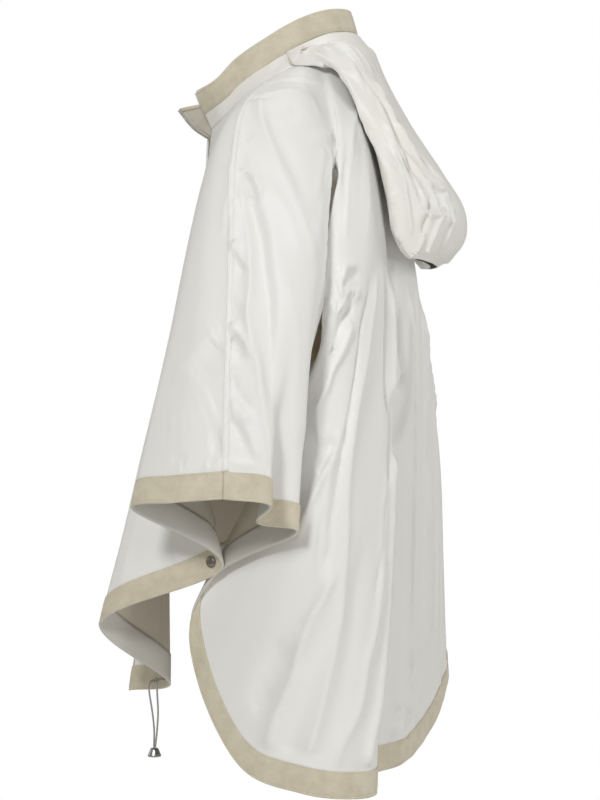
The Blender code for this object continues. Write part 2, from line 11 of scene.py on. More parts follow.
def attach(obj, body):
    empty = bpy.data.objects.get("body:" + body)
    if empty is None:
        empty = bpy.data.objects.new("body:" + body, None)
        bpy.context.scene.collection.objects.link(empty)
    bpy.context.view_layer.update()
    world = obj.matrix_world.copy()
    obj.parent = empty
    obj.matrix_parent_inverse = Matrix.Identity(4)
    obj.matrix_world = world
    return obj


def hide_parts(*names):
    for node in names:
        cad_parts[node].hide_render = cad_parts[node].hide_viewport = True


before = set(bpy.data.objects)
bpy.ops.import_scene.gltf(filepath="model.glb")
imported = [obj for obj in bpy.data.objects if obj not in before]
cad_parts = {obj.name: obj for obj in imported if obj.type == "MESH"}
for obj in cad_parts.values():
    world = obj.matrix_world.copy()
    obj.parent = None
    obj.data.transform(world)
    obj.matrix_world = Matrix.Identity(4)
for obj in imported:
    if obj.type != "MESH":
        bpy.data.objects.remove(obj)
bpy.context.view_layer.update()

# Studio: a pale floor under five soft lamps, and the camera level with the middle of the cape,
# two and a half metres off its left side and a little behind it.
CAMERA_TURN = math.radians(98)
CAMERA_AWAY = 2.5
CAMERA_AIM = (0.0, 0.012, -0.390)
FOCAL_PIXELS = 2083
PHOTO_WIDTH = 600
PHOTO_HEIGHT = 800
SENSOR = 36
LAMP_COLOUR = (0.975, 0.987, 1.0)
SHADE_COLOUR = (1.0, 0.96, 0.87, 1.0)
SHADE_STRENGTH = 0.30
FLOOR_HEIGHT = -1.35
FLOOR_RADIUS = 2.3


def add_node(tree, kind, **settings):
    """A shader node with its inputs set by name."""
    made = tree.nodes.new(kind)
    for name, value in settings.items():
        if hasattr(made, name):
            setattr(made, name, value)
        else:
            made.inputs[name.replace("_", " ")].default_value = value
    return made


camera = bpy.data.objects.new("camera", bpy.data.cameras.new("camera"))
bpy.context.scene.collection.objects.link(camera)
looking = Vector((-math.sin(CAMERA_TURN), math.cos(CAMERA_TURN), 0.0))
camera.location = Vector(CAMERA_AIM) - looking * CAMERA_AWAY
camera.rotation_euler = looking.to_track_quat("-Z", "Y").to_euler()
camera.data.sensor_width = SENSOR
camera.data.lens = SENSOR * FOCAL_PIXELS / PHOTO_HEIGHT
bpy.context.scene.camera = camera

across_view = Vector((looking.y, -looking.x, 0.0))
for name, right, up, nearer, size, power in (
        ("key light", -0.8, 1.2, 2.2, 0.5, 28.0),
        ("fill light", 1.8, 0.2, 1.8, 0.8, 12.0),
        ("top light", 0.1, 2.3, -0.4, 1.0, 9.0),
        ("front rim light", -2.4, 0.4, -1.0, 1.0, 3.5),
        ("back rim light", 2.4, 0.9, -0.9, 1.0, 15.0)):
    lamp = bpy.data.objects.new(name, bpy.data.lights.new(name, "AREA"))
    lamp.data.energy = power
    lamp.data.color = LAMP_COLOUR
    lamp.data.shape = "DISK"
    lamp.data.size = size
    lamp.location = Vector(CAMERA_AIM) + across_view * right + Vector((0, 0, up)) - looking * nearer
    lamp.rotation_euler = (Vector(CAMERA_AIM) - lamp.location).to_track_quat("-Z", "Y").to_euler()
    bpy.context.scene.collection.objects.link(lamp)

# The lamps light the cape and the room fills its shade; behind it the room itself is white
room = bpy.data.worlds.new("Pale room")
room.use_nodes = True
air = room.node_tree.nodes["Background"]
tone = add_node(room.node_tree, "ShaderNodeMix", data_type="RGBA")
tone.inputs[6].default_value = SHADE_COLOUR
tone.inputs[7].default_value = (1.0, 1.0, 1.0, 1.0)
seen = add_node(room.node_tree, "ShaderNodeLightPath")
strength = add_node(room.node_tree, "ShaderNodeMapRange")
strength.inputs["To Min"].default_value = SHADE_STRENGTH
strength.inputs["To Max"].default_value = 1.0
room.node_tree.links.new(seen.outputs["Is Camera Ray"], strength.inputs["Value"])
room.node_tree.links.new(strength.outputs["Result"], air.inputs["Strength"])
room.node_tree.links.new(seen.outputs["Is Camera Ray"], tone.inputs["Factor"])
room.node_tree.links.new(tone.outputs[2], air.inputs["Color"])
bpy.context.scene.world = room
bpy.context.scene.view_settings.view_transform = "Standard"

disc = bmesh.new()
bmesh.ops.create_circle(disc, cap_ends=True, segments=128, radius=FLOOR_RADIUS)
floor_mesh = bpy.data.meshes.new("floor")
disc.to_mesh(floor_mesh)
disc.free()
floor = bpy.data.objects.new("floor", floor_mesh)
floor.location.z = FLOOR_HEIGHT
floor_paint = bpy.data.materials.new("Pale floor")
floor_paint.use_nodes = True
floor_paint.node_tree.nodes["Principled BSDF"].inputs["Base Color"].default_value = (0.92, 0.92, 0.92, 1)
floor_paint.node_tree.nodes["Principled BSDF"].inputs["Roughness"].default_value = 0.9
floor_mesh.materials.append(floor_paint)
bpy.context.scene.collection.objects.link(floor)


# Drawcord: two strands of a round elastic cord that leave eyelets in the left front's trim
# and hang down into one metal bell.
CORD_DIAMETER = 0.0022
CORD_STEP = 0.0025
CORD_ROUTES = {
    "drawcord_front": [
        (0.0327, -0.1597, -0.7254), (0.0366, -0.1628, -0.7264), (0.0388, -0.1644, -0.7310),
        (0.0390, -0.1640, -0.7400), (0.0372, -0.1612, -0.7600), (0.0348, -0.1592, -0.7830),
        (0.0338, -0.1595, -0.8055)],
    "drawcord_back": [
        (0.0440, -0.1467, -0.7214), (0.0470, -0.1507, -0.7224), (0.0486, -0.1526, -0.7272),
        (0.0484, -0.1526, -0.7370), (0.0462, -0.1520, -0.7600), (0.0420, -0.1540, -0.7830),
        (0.0382, -0.1573, -0.8055)],
}
BELL_TOP = Vector((0.0360, -0.1585, -0.8058))
BELL_PROFILE = [
    (0.0010, 0.0), (0.0040, 0.0), (0.0046, -0.0004), (0.0056, -0.0022), (0.0064, -0.0044),
    (0.0072, -0.0066), (0.0079, -0.0078), (0.0080, -0.0090), (0.0077, -0.0098), (0.0070, -0.0100),
    (0.0062, -0.0094), (0.0030, -0.0090), (0.0010, -0.0090)]


def on_curve(points, position):
    """A place on the smooth curve through the points, where position counts them from 0."""
    points = np.asarray(points, float)
    last = len(points) - 1
    index = min(int(position), last - 1)
    share = position - index
    second, third = points[index], points[index + 1]
    first = points[index - 1] if index > 0 else second * 2 - third
    fourth = points[index + 2] if index + 2 <= last else third * 2 - second
    knots = [np.zeros(second.shape[:-1] + (1,))]
    for start, end in ((first, second), (second, third), (third, fourth)):
        reach = np.linalg.norm(end - start, axis=-1, keepdims=True)
        knots.append(knots[-1] + np.maximum(reach, 1e-6) ** 0.5)
    at = knots[1] + share * (knots[2] - knots[1])

    def blend(start, end, low, high):
        return start * ((high - at) / (high - low)) + end * ((at - low) / (high - low))

    a = blend(first, second, knots[0], knots[1])
    b = blend(second, third, knots[1], knots[2])
    c = blend(third, fourth, knots[2], knots[3])
    return blend(blend(a, b, knots[0], knots[2]), blend(b, c, knots[1], knots[3]), knots[1], knots[2])


def put(mesh, name, finish, *finishes, body="cape"):
    """A smooth piece of the cape from a mesh, with its finish."""
    piece = bpy.data.objects.new(name, mesh)
    for one in (finish,) + finishes:
        mesh.materials.append(one)
    mesh.polygons.foreach_set("use_smooth", [True] * len(mesh.polygons))
    bpy.context.scene.collection.objects.link(piece)
    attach(piece, body)
    return piece


def turned(name, profile, spot, way, finish, steps=48):
    """A round metal piece spun from a profile of radius and height, standing on a spot."""
    lathe = bmesh.new()
    points = [lathe.verts.new((radius, 0.0, height)) for radius, height in profile]
    edges = [lathe.edges.new(pair) for pair in zip(points, points[1:])]
    bmesh.ops.spin(lathe, geom=points + edges, angle=math.tau, steps=steps, axis=(0, 0, 1),
                   cent=(0, 0, 0), use_merge=True)
    bmesh.ops.remove_doubles(lathe, verts=lathe.verts, dist=1e-6)
    open_edges = [edge for edge in lathe.edges if edge.is_boundary]
    if open_edges:
        bmesh.ops.holes_fill(lathe, edges=open_edges, sides=0)
    bmesh.ops.recalc_face_normals(lathe, faces=lathe.faces)
    bmesh.ops.rotate(lathe, cent=(0, 0, 0), verts=lathe.verts,
                     matrix=Vector(way).to_track_quat("Z", "Y").to_matrix())
    bmesh.ops.translate(lathe, vec=Vector(spot), verts=lathe.verts)
    mesh = bpy.data.meshes.new(name)
    lathe.to_mesh(mesh)
    lathe.free()
    return put(mesh, name, finish)


def metal(name, colour, roughness, grain):
    """Plated metal with fine rub marks and cloudier patches."""
    made = bpy.data.materials.new(name)
    made.use_nodes = True
    tree = made.node_tree
    surface = tree.nodes["Principled BSDF"]
    surface.inputs["Metallic"].default_value = 1.0
    place = add_node(tree, "ShaderNodeTexCoord")
    patches = add_node(tree, "ShaderNodeTexNoise", Scale=420.0, Detail=4.0)
    rubs = add_node(tree, "ShaderNodeTexNoise", Scale=2600.0, Detail=2.0)
    tint = add_node(tree, "ShaderNodeMix", data_type="RGBA")
    tint.inputs[6].default_value = (*[c * 0.82 for c in colour], 1)
    tint.inputs[7].default_value = (*colour, 1)
    rough = add_node(tree, "ShaderNodeMapRange")
    rough.inputs["To Min"].default_value = roughness * 0.75
    rough.inputs["To Max"].default_value = roughness * 1.25
    bump = add_node(tree, "ShaderNodeBump", Strength=grain, Distance=0.00008)
    tree.links.new(place.outputs["Object"], patches.inputs["Vector"])
    tree.links.new(place.outputs["Object"], rubs.inputs["Vector"])
    tree.links.new(patches.outputs["Fac"], tint.inputs["Factor"])
    tree.links.new(patches.outputs["Fac"], rough.inputs["Value"])
    tree.links.new(rubs.outputs["Fac"], bump.inputs["Height"])
    tree.links.new(tint.outputs[2], surface.inputs["Base Color"])
    tree.links.new(rough.outputs["Result"], surface.inputs["Roughness"])
    tree.links.new(bump.outputs["Normal"], surface.inputs["Normal"])
    return made


nickel = metal("Nickel plate", (0.55, 0.55, 0.54), 0.30, 0.25)

cord_braid = bpy.data.materials.new("Grey braided cord")
cord_braid.use_nodes = True
tree = cord_braid.node_tree
surface = tree.nodes["Principled BSDF"]
surface.inputs["Roughness"].default_value = 0.7
place = add_node(tree, "ShaderNodeTexCoord")
braid = add_node(tree, "ShaderNodeTexWave", Scale=900.0, Distortion=3.0, Detail=2.0, Detail_Scale=2.0)
braid.bands_direction = "DIAGONAL"
tint = add_node(tree, "ShaderNodeMix", data_type="RGBA")
tint.inputs[6].default_value = (0.27, 0.27, 0.27, 1)
tint.inputs[7].default_value = (0.52, 0.52, 0.52, 1)
bump = add_node(tree, "ShaderNodeBump", Strength=0.6, Distance=0.0002)
tree.links.new(place.outputs["Object"], braid.inputs["Vector"])
tree.links.new(braid.outputs["Fac"], tint.inputs["Factor"])
tree.links.new(braid.outputs["Fac"], bump.inputs["Height"])
tree.links.new(tint.outputs[2], surface.inputs["Base Color"])
tree.links.new(bump.outputs["Normal"], surface.inputs["Normal"])

bell = turned("drawcord_bell", BELL_PROFILE, BELL_TOP, (0, 0, 1), nickel, 64)
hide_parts("cord_toggle")

for name, corners in CORD_ROUTES.items():
    dense = [on_curve(corners, (len(corners) - 1) * step / 200) for step in range(201)]
    length = float(sum(np.linalg.norm(end - start) for start, end in zip(dense, dense[1:])))
    count = round(length / CORD_STEP)
    line = bpy.data.curves.new(name + "_strand", "CURVE")
    line.dimensions = "3D"
    line.bevel_depth = CORD_DIAMETER / 2
    line.bevel_resolution = 4
    line.use_fill_caps = True
    spline = line.splines.new("POLY")
    spline.points.add(count)
    for step, point in enumerate(spline.points):
        point.co = (*on_curve(corners, (len(corners) - 1) * step / count), 1)
    line.materials.append(cord_braid)
    strand = bpy.data.objects.new(name + "_strand", line)
    bpy.context.scene.collection.objects.link(strand)
    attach(strand, "cape")
    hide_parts(name)


# Outer cloth: two fronts and one back of white satin rain cloth, hung from the neck seam over the
# shoulders. Each panel is one sheet through its fold lines, with its creases pressed in.
CLOTH_THICKNESS = 0.0009
BAND_WIDTH = 0.030
BODY_ROWS = 132
BAND_ROWS = 8
# columns on each panel, and how much closer they are on its side seam's half than on the other
PANEL_COLUMNS = {"front_left": (230, 1.0), "front_right": (130, 1.0), "back": (346, 1.55)}

Fold = namedtuple("Fold", "name neck shoulder middle hem")
CollarRow = namedtuple("CollarRow", "seam trim_edge top")
# A spot on a panel: place counts its fold lines across, and down is the share of the way to the hem
On = namedtuple("On", "place down")
# A crease's line was read off the photo, in its pixels, or is spots chosen on the panel
Crease = namedtuple("Crease", "name path width height lean fade")

COLLAR = [
    CollarRow((0.010, -0.093, -0.064), (0.022, -0.100, -0.047), (0.042, -0.106, -0.024)),
    CollarRow((0.060, -0.067, -0.053), (0.060, -0.070, -0.037), (0.066, -0.078, -0.014)),
    CollarRow((0.088, -0.034, -0.030), (0.080, -0.041, -0.017), (0.075, -0.053, 0.008)),
    CollarRow((0.095, 0.002, -0.012), (0.086, -0.004, 0.005), (0.079, -0.015, 0.032)),
    CollarRow((0.092, 0.031, 0.001), (0.083, 0.024, 0.021), (0.076, 0.014, 0.049)),
    CollarRow((0.076, 0.057, 0.010), (0.070, 0.049, 0.035), (0.064, 0.041, 0.062)),
    CollarRow((0.043, 0.078, 0.016), (0.042, 0.070, 0.043), (0.038, 0.062, 0.070)),
    CollarRow((0.000, 0.086, 0.018), (0.000, 0.080, 0.045), (0.000, 0.072, 0.0735)),
]
RIGHT_COLLAR_FRONT = CollarRow(
    (0.009, -0.100, -0.073), (0.031, -0.123, -0.056), (0.050, -0.144, -0.032))

LEFT_FRONT = [
    Fold("zip edge", 0.00, (0.0046, -0.106, -0.160), (0.0040, -0.150, -0.420), (0.0040, -0.196, -0.742)),
    Fold("front hollow", 0.45, (0.046, -0.104, -0.160), (0.052, -0.134, -0.420), (0.052, -0.137, -0.727)),
    Fold("front fold", 0.95, (0.100, -0.087, -0.155), (0.122, -0.147, -0.420), (0.140, -0.200, -0.648)),
    Fold("snap hollow", 1.50, (0.146, -0.072, -0.140), (0.180, -0.090, -0.370), (0.200, -0.046, -0.573)),
    Fold("sleeve front", 2.10, (0.180, -0.064, -0.118), (0.232, -0.100, -0.320), (0.260, -0.136, -0.508)),
    Fold("sleeve face", 2.50, (0.199, -0.048, -0.093), (0.262, -0.066, -0.290), (0.294, -0.085, -0.500)),
    Fold("side seam", 2.90, (0.206, -0.028, -0.078), (0.276, -0.027, -0.285), (0.308, -0.027, -0.495)),
]
LEFT_BACK = [
    Fold("side seam", 2.90, (0.206, -0.028, -0.078), (0.276, -0.027, -0.285), (0.308, -0.027, -0.495)),
    Fold("sleeve back face", 3.40, (0.206, 0.015, -0.080), (0.280, 0.022, -0.290), (0.300, 0.022, -0.502)),
    Fold("sleeve tuck", 3.75, (0.200, 0.050, -0.092), (0.273, 0.050, -0.295), (0.268, 0.004, -0.523)),
    Fold("sleeve back", 4.10, (0.190, 0.070, -0.118), (0.261, 0.062, -0.296), (0.250, 0.044, -0.532)),
    Fold("arm hollow", 4.55, (0.168, 0.077, -0.128), (0.190, 0.058, -0.320), (0.187, -0.060, -0.588)),
    Fold("back edge fold", 4.85, (0.174, 0.085, -0.126), (0.212, 0.067, -0.340), (0.165, -0.091, -0.656)),
    Fold("back corner", 5.15, (0.151, 0.109, -0.130), (0.214, 0.080, -0.400), (0.210, -0.024, -0.796)),
    Fold("back side", 5.45, (0.136, 0.112, -0.133), (0.206, 0.097, -0.420), (0.226, 0.044, -0.819)),
    Fold("back side fold", 5.80, (0.117, 0.114, -0.136), (0.176, 0.114, -0.420), (0.212, 0.087, -0.827)),
    Fold("pleat edge", 6.15, (0.092, 0.117, -0.138), (0.125, 0.135, -0.410), (0.165, 0.120, -0.830)),
    Fold("pleat hollow", 6.45, (0.070, 0.119, -0.140), (0.098, 0.124, -0.420), (0.118, 0.108, -0.818)),
    Fold("pleat face", 6.75, (0.040, 0.126, -0.140), (0.056, 0.146, -0.420), (0.070, 0.140, -0.812)),
    Fold("back middle", 7.00, (0.006, 0.130, -0.140), (0.010, 0.150, -0.420), (0.020, 0.151, -0.796)),
]
RIGHT_BACK_CHANGES = {
    "pleat face": ((0.040, 0.131, -0.140), (0.048, 0.166, -0.420), (0.048, 0.166, -0.787)),
    "pleat hollow": ((0.068, 0.120, -0.140), (0.100, 0.168, -0.420), (0.120, 0.176, -0.758)),
    "pleat edge": ((0.092, 0.115, -0.138), (0.150, 0.158, -0.420), (0.200, 0.172, -0.735)),
    "back side fold": ((0.117, 0.113, -0.136), (0.190, 0.132, -0.420), (0.245, 0.130, -0.722)),
    "back side": ((0.136, 0.112, -0.133), (0.214, 0.104, -0.410), (0.250, 0.070, -0.702)),
    "back corner": ((0.151, 0.109, -0.130), (0.214, 0.084, -0.390), (0.218, -0.006, -0.700)),
}
RIGHT_FRONT_CHANGES = {
    "zip edge": ((0.0046, -0.106, -0.160), (0.0040, -0.150, -0.420), (0.0040, -0.196, -0.742)),
    "front hollow": ((0.046, -0.106, -0.160), (0.052, -0.146, -0.420), (0.060, -0.196, -0.738)),
    "snap hollow": ((0.146, -0.072, -0.140), (0.181, -0.090, -0.370), (0.204, -0.045, -0.573)),
}

FRONT_CREASES = [
    Crease("front slant", [(157, 423), (168, 422), (179, 420), (199, 412),
            (219, 404)], 0.02, 0.0016, 0, (0.3, 0.2)),
    Crease("front dimple", [(208, 441), (215, 440), (223, 440)], 0.011, -0.002, 0, (0.4, 0.2)),
    Crease("front gather 1", [(204, 461), (208, 467), (211, 472)], 0.004, 0.0019, 0, (0.3, 0)),
    Crease("front gather 2", [(221, 455), (216, 463), (211, 472)], 0.004, 0.0019, 0, (0.3, 0)),
    Crease("front gather 3", [(176, 461), (180, 468), (179, 474)], 0.0035, 0.0013, 0, (0.3, 0)),
    Crease("front gather 4", [(172, 461), (178, 462), (186, 463)], 0.005, -0.0013, 0, (0.3, 0)),
    Crease("front soft", [(223, 327), (208, 340), (195, 352), (181, 368),
            (169, 386)], 0.014, 0.0024, 0, (0.2, 0.3)),
    Crease("front soft hollow", [(222, 345), (206, 362), (192, 380)], 0.014, -0.002, 0, (0.2, 0.3)),
    Crease("front upper", [(234, 150), (230, 180), (225, 215), (221, 250)], 0.01, 0.002, 0, (0.2, 0.4)),
    Crease("lower front fold", [On(2.7, 0.66), On(2.65, 0.8),
            On(2.6, 0.95)], 0.01, 0.0025, 0, (0.3, 0.0)),
    Crease("lower front fold 2", [On(3.3, 0.6), On(3.2, 0.75),
            On(3.1, 0.93)], 0.013, -0.003, 0, (0.3, 0.0)),
    Crease("zip fold", [On(0.9, 0.16), On(1, 0.35), On(1.15, 0.6), On(1.2, 0.85),
            On(1.2, 0.97)], 0.008, 0.0024, 0.2, (0.2, 0.1)),
    Crease("zip hollow", [On(1.7, 0.22), On(1.85, 0.45), On(1.9, 0.7),
            On(1.95, 0.95)], 0.011, -0.0028, 0, (0.3, 0.2)),
    Crease("middle fold", [On(2.3, 0.3), On(2.35, 0.5), On(2.3, 0.75),
            On(2.2, 0.97)], 0.009, 0.0022, -0.2, (0.3, 0.1)),
    Crease("side fold", [On(3.6, 0.3), On(3.8, 0.5), On(3.8, 0.75)], 0.012, 0.0016, 0, (0.3, 0.3)),
    Crease("zip pull 1", [On(0.05, 0.235), On(0.5, 0.27), On(1, 0.285)], 0.005, 0.0018, -0.3, (0.1, 0.5)),
    Crease("zip pull 2", [On(0.05, 0.5), On(0.6, 0.56), On(1.1, 0.6)], 0.005, 0.0016, -0.3, (0.05, 0.5)),
    Crease("zip pull 3", [On(0.05, 0.73), On(0.5, 0.77), On(0.9, 0.83)], 0.005, -0.0016, 0, (0.05, 0.5)),
]
BACK_CREASES = [
    Crease("arm hollow", [On(4.6, 0.222), On(4.2, 0.245), On(3.95, 0.28), On(3.85, 0.36), On(3.85, 0.45),
            On(3.85, 0.55), On(3.9, 0.65)], 0.010, -0.015, 0, (0.1, 0.2)),
    Crease("arm hollow edge", [On(4.95, 0.195), On(4.8, 0.25), On(4.7, 0.33), On(4.7, 0.42),
            On(4.75, 0.52)], 0.006, 0.006, 0.3, (0.1, 0.2)),
    Crease("sleeve tuck", [On(3.2, 0.22), On(3.3, 0.3), On(3.35, 0.4), On(3.35, 0.5),
            On(3.25, 0.6)], 0.007, 0.004, 0.2, (0.2, 0.2)),
    Crease("wing ridge", [(260, 99), (262, 115), (269, 135), (279, 159), (289, 183), (299, 207),
            (307, 229), (313, 249), (316, 267)], 0.009, 0.0055, 0.25, (0.03, 0.15)),
    Crease("second wing ridge", [(266, 170), (275, 192), (285, 211), (297, 235),
            (307, 263)], 0.012, 0.003, 0, (0.3, 0.3)),
    Crease("wing shadow", [(268, 110), (280, 140), (293, 172), (305, 200),
            (312, 222)], 0.011, -0.003, 0, (0.15, 0.3)),
    Crease("seam ridge", [(241, 174), (243, 190), (246, 210), (249, 235), (251, 260), (251, 285),
            (250, 314), (253, 338), (257, 360), (260, 376), (265, 408), (269, 436),
            (271, 470)], 0.006, 0.005, 0.3, (0.1, 0.1)),
    Crease("long valley", [(248, 187), (253, 211), (259, 235), (264, 267), (267, 300), (269, 340),
            (273, 400), (276, 440)], 0.01, -0.0075, 0.2, (0.1, 0.25)),
    Crease("sleeve back crest", [(284, 260), (292, 300), (297, 345), (297, 400),
            (297, 464)], 0.016, 0.004, 0, (0.3, 0.2)),
    Crease("vee", [(240, 171), (245, 170), (251, 176), (256, 184), (260, 192), (262, 198),
            (266, 196)], 0.005, 0.0045, -0.3, (0.15, 0.15)),
    Crease("vee hollow", [(242, 174), (246, 178), (250, 190), (253, 202)], 0.005, -0.0045, 0, (0.1, 0.3)),
    Crease("upper stroke", [(240, 130), (245, 134), (250, 140)], 0.005, -0.0024, 0, (0.3, 0.3)),
    Crease("upper crest", [(245, 151), (251, 160), (255, 171),
            (260, 185)], 0.005, 0.0026, 0.2, (0.3, 0.2)),
    Crease("pucker 1", [(231, 203), (235, 204), (239, 206)], 0.0035, 0.0017, -0.3, (0, 0.4)),
    Crease("pucker 2", [(230, 218), (235, 219), (239, 218)], 0.0035, 0.0014, -0.3, (0, 0.4)),
    Crease("pucker 3", [(230, 224), (234, 226), (237, 228)], 0.0035, 0.0014, -0.3, (0, 0.4)),
    Crease("pucker 4", [(230, 232), (235, 234), (238, 238)], 0.0035, 0.0012, -0.3, (0, 0.4)),
    Crease("big dart", [(232, 241), (239, 255), (245, 265),
            (252, 270)], 0.005, 0.005, -0.35, (0.05, 0.15)),
    Crease("big dart hollow", [(234, 250), (240, 264), (247, 277)], 0.006, -0.004, 0, (0.1, 0.3)),
    Crease("pucker 5", [(230, 296), (238, 298), (246, 296)], 0.0035, 0.0017, -0.3, (0, 0.4)),
    Crease("pucker 6", [(229, 312), (234, 311), (240, 313)], 0.0035, -0.0016, 0, (0, 0.4)),
    Crease("dart", [(230, 326), (236, 332), (243, 344), (251, 355),
            (255, 354)], 0.005, 0.0042, -0.4, (0.05, 0.2)),
    Crease("dart hollow", [(232, 336), (238, 346), (245, 356)], 0.005, -0.0036, 0, (0.1, 0.3)),
    Crease("pucker 7", [(229, 362), (236, 364), (242, 368)], 0.0035, 0.0012, -0.3, (0, 0.4)),
    Crease("pucker 8", [(229, 381), (233, 382), (238, 385)], 0.0035, -0.002, 0, (0, 0.4)),
    Crease("pucker 9", [(230, 388), (235, 389), (240, 391)], 0.0035, -0.002, 0, (0, 0.4)),
    Crease("dart 2 hollow", [(237, 394), (243, 401), (250, 410)], 0.0045, -0.003, 0, (0.1, 0.3)),
    Crease("dart 2", [(229, 399), (239, 411), (247, 418), (254, 422)], 0.0045, 0.004, -0.3, (0, 0.2)),
    Crease("dart 3", [(231, 408), (238, 417), (245, 428), (253, 446),
            (261, 465)], 0.005, 0.0036, -0.3, (0, 0.2)),
    Crease("dart 3 hollow", [(232, 420), (238, 432), (245, 448)], 0.005, -0.0026, 0, (0.1, 0.3)),
    Crease("pucker 10", [(229, 437), (234, 443), (239, 452)], 0.0035, 0.0013, -0.3, (0, 0.4)),
    Crease("hem gather", [(232, 455), (238, 463), (252, 466),
            (266, 470)], 0.004, 0.0026, -0.3, (0.3, 0.1)),
    Crease("shoulder line", [(257, 96), (266, 92), (275, 90), (290, 89),
            (305, 90)], 0.004, 0.0022, 0.3, (0.15, 0.3)),
    Crease("shoulder fold", [(250, 88), (262, 80), (280, 77), (310, 79),
            (335, 81)], 0.0035, 0.0018, 0.2, (0.2, 0.3)),
    Crease("shoulder fold 2", [(255, 84), (275, 80), (300, 81),
            (322, 84)], 0.0035, -0.0016, 0, (0.3, 0.3)),
    Crease("shoulder dimple", [(284, 112), (292, 113), (300, 108)], 0.011, -0.0014, 0, (0.4, 0.4)),
    Crease("shoulder bump", [(288, 128), (298, 124), (306, 118)], 0.014, 0.0014, 0, (0.4, 0.4)),
    Crease("shoulder slant", [(312, 92), (318, 106), (326, 122)], 0.006, 0.0016, 0, (0.4, 0.4)),
    Crease("pinch left", [(306, 143), (316, 140), (325, 137),
            (332, 134)], 0.006, 0.0046, -0.2, (0.4, 0.05)),
    Crease("pinch hook", [On(3, 0.207), On(3.5, 0.2), On(4.1, 0.197), On(4.6, 0.203),
            On(4.9, 0.215)], 0.006, 0.003, -0.2, (0.3, 0.3)),
    Crease("pinch lower", [(325, 148), (321, 163), (319, 183),
            (317, 205)], 0.005, 0.0036, 0.2, (0.1, 0.3)),
    Crease("long back ridge", [(357, 105), (353, 123), (351, 143), (349, 175), (348, 215),
            (346, 247)], 0.006, 0.004, 0.2, (0.1, 0.2)),
    Crease("under hood hollow", [(364, 125), (362, 160), (360, 200),
            (360, 240)], 0.008, -0.003, 0, (0.3, 0.3)),
    Crease("hook slope", [(353, 306), (347, 318), (340, 332), (334, 346),
            (329, 358)], 0.005, -0.006, 0.2, (0.05, 0.2)),
    Crease("upper lip", [(352, 322), (347, 338), (340, 355), (333, 372), (326, 390), (321, 405),
            (318, 425), (320, 445)], 0.006, 0.0065, 0.3, (0.05, 0.1)),
    Crease("lower lip", [(334, 453), (326, 471), (316, 492), (305, 515),
            (296, 540)], 0.008, 0.008, 0.3, (0.05, 0.3)),
    Crease("lip pocket", [(323, 440), (329, 449), (325, 460), (318, 474)], 0.006, -0.005, 0, (0.2, 0.2)),
    Crease("groove", [(373, 264), (366, 298), (361, 329), (357, 364), (352, 402), (346, 436), (340, 464),
            (335, 495), (333, 519), (329, 545), (323, 575)], 0.0036, -0.0045, 0, (0.15, 0.05)),
    Crease("groove right crest", [(380, 264), (374, 298), (369, 329), (364, 364), (358, 402), (353, 436),
            (350, 464), (347, 500), (345, 538), (343, 580), (340, 614), (336, 640), (330, 672),
            (323, 700), (316, 724), (307, 756)], 0.008, 0.0055, -0.1, (0.1, 0.0)),
    Crease("groove left crest", [(348, 410), (340, 436), (333, 464), (328, 495), (323, 531), (319, 560),
            (316, 590)], 0.007, 0.0045, 0.1, (0.2, 0.3)),
    Crease("strong ridge", [(342, 562), (333, 577), (320, 600), (312, 620), (305, 640), (298, 660),
            (291, 680), (283, 700), (276, 722), (268, 752)], 0.008, 0.0075, 0.1, (0.15, 0.0)),
    Crease("strong ridge hollow", [(334, 600), (326, 630), (315, 665), (304, 698), (295, 725),
            (287, 755)], 0.012, -0.005, 0, (0.3, 0.0)),
    Crease("wedge edge", [(303, 630), (296, 634), (286, 640),
            (274, 648)], 0.005, 0.0025, -0.3, (0.1, 0.5)),
    Crease("wedge hollow", [(300, 640), (288, 655), (275, 676), (264, 700),
            (256, 720)], 0.014, -0.007, 0, (0.3, 0.3)),
    Crease("mid ridge", [(386, 440), (384, 500), (382, 548), (379, 590), (373, 636), (366, 664),
            (359, 700), (350, 724), (342, 743), (336, 768)], 0.009, 0.0055, -0.1, (0.3, 0.0)),
    Crease("mid groove", [(386, 488), (384, 519), (382, 545), (378, 575),
            (373, 610)], 0.0035, -0.0035, 0, (0.1, 0.3)),
    Crease("mid trough", [(365, 520), (362, 560), (356, 600), (350, 640), (344, 680), (334, 715),
            (322, 765)], 0.013, -0.0045, 0, (0.3, 0.0)),
    Crease("pleat groove 1", [(388, 262), (387, 300), (386, 340), (385, 378), (386, 402),
            (391, 415)], 0.0032, -0.0085, 0, (0.05, 0.1)),
    Crease("pleat crest 1", [(394, 262), (394, 300), (393, 340), (392, 378),
            (391, 400)], 0.006, 0.0085, 0, (0.1, 0.1)),
    Crease("pleat groove 2", [(399, 300), (400, 328), (401, 355), (402, 378), (396, 402), (392, 421),
            (390, 452), (387, 488)], 0.0032, -0.0085, 0, (0.1, 0.1)),
    Crease("pleat crest 2", [(410, 280), (411, 330), (410, 380), (406, 402), (400, 430), (396, 470),
            (394, 520), (390, 600), (384, 650), (378, 700), (370, 740),
            (366, 768)], 0.007, 0.0085, 0, (0.1, 0.0)),
    Crease("pleat groove 3", [(419, 281), (420, 369), (418, 464), (417, 519), (416, 583), (415, 667),
            (417, 702)], 0.0036, -0.01, 0, (0.05, 0.1)),
    Crease("pleat crest 3", [(426, 300), (429, 369), (430, 464), (431, 519), (431, 583),
            (430, 660)], 0.007, 0.0085, 0, (0.1, 0.1)),
    Crease("puff 1", [(391, 704), (398, 711), (406, 712), (414, 715)], 0.005, 0.0045, -0.3, (0.2, 0.2)),
    Crease("puff 2", [(397, 733), (403, 725), (414, 720)], 0.005, 0.004, 0.3, (0.2, 0.2)),
    Crease("puff 3", [(393, 722), (400, 718), (410, 718)], 0.005, -0.004, 0, (0.3, 0.3)),
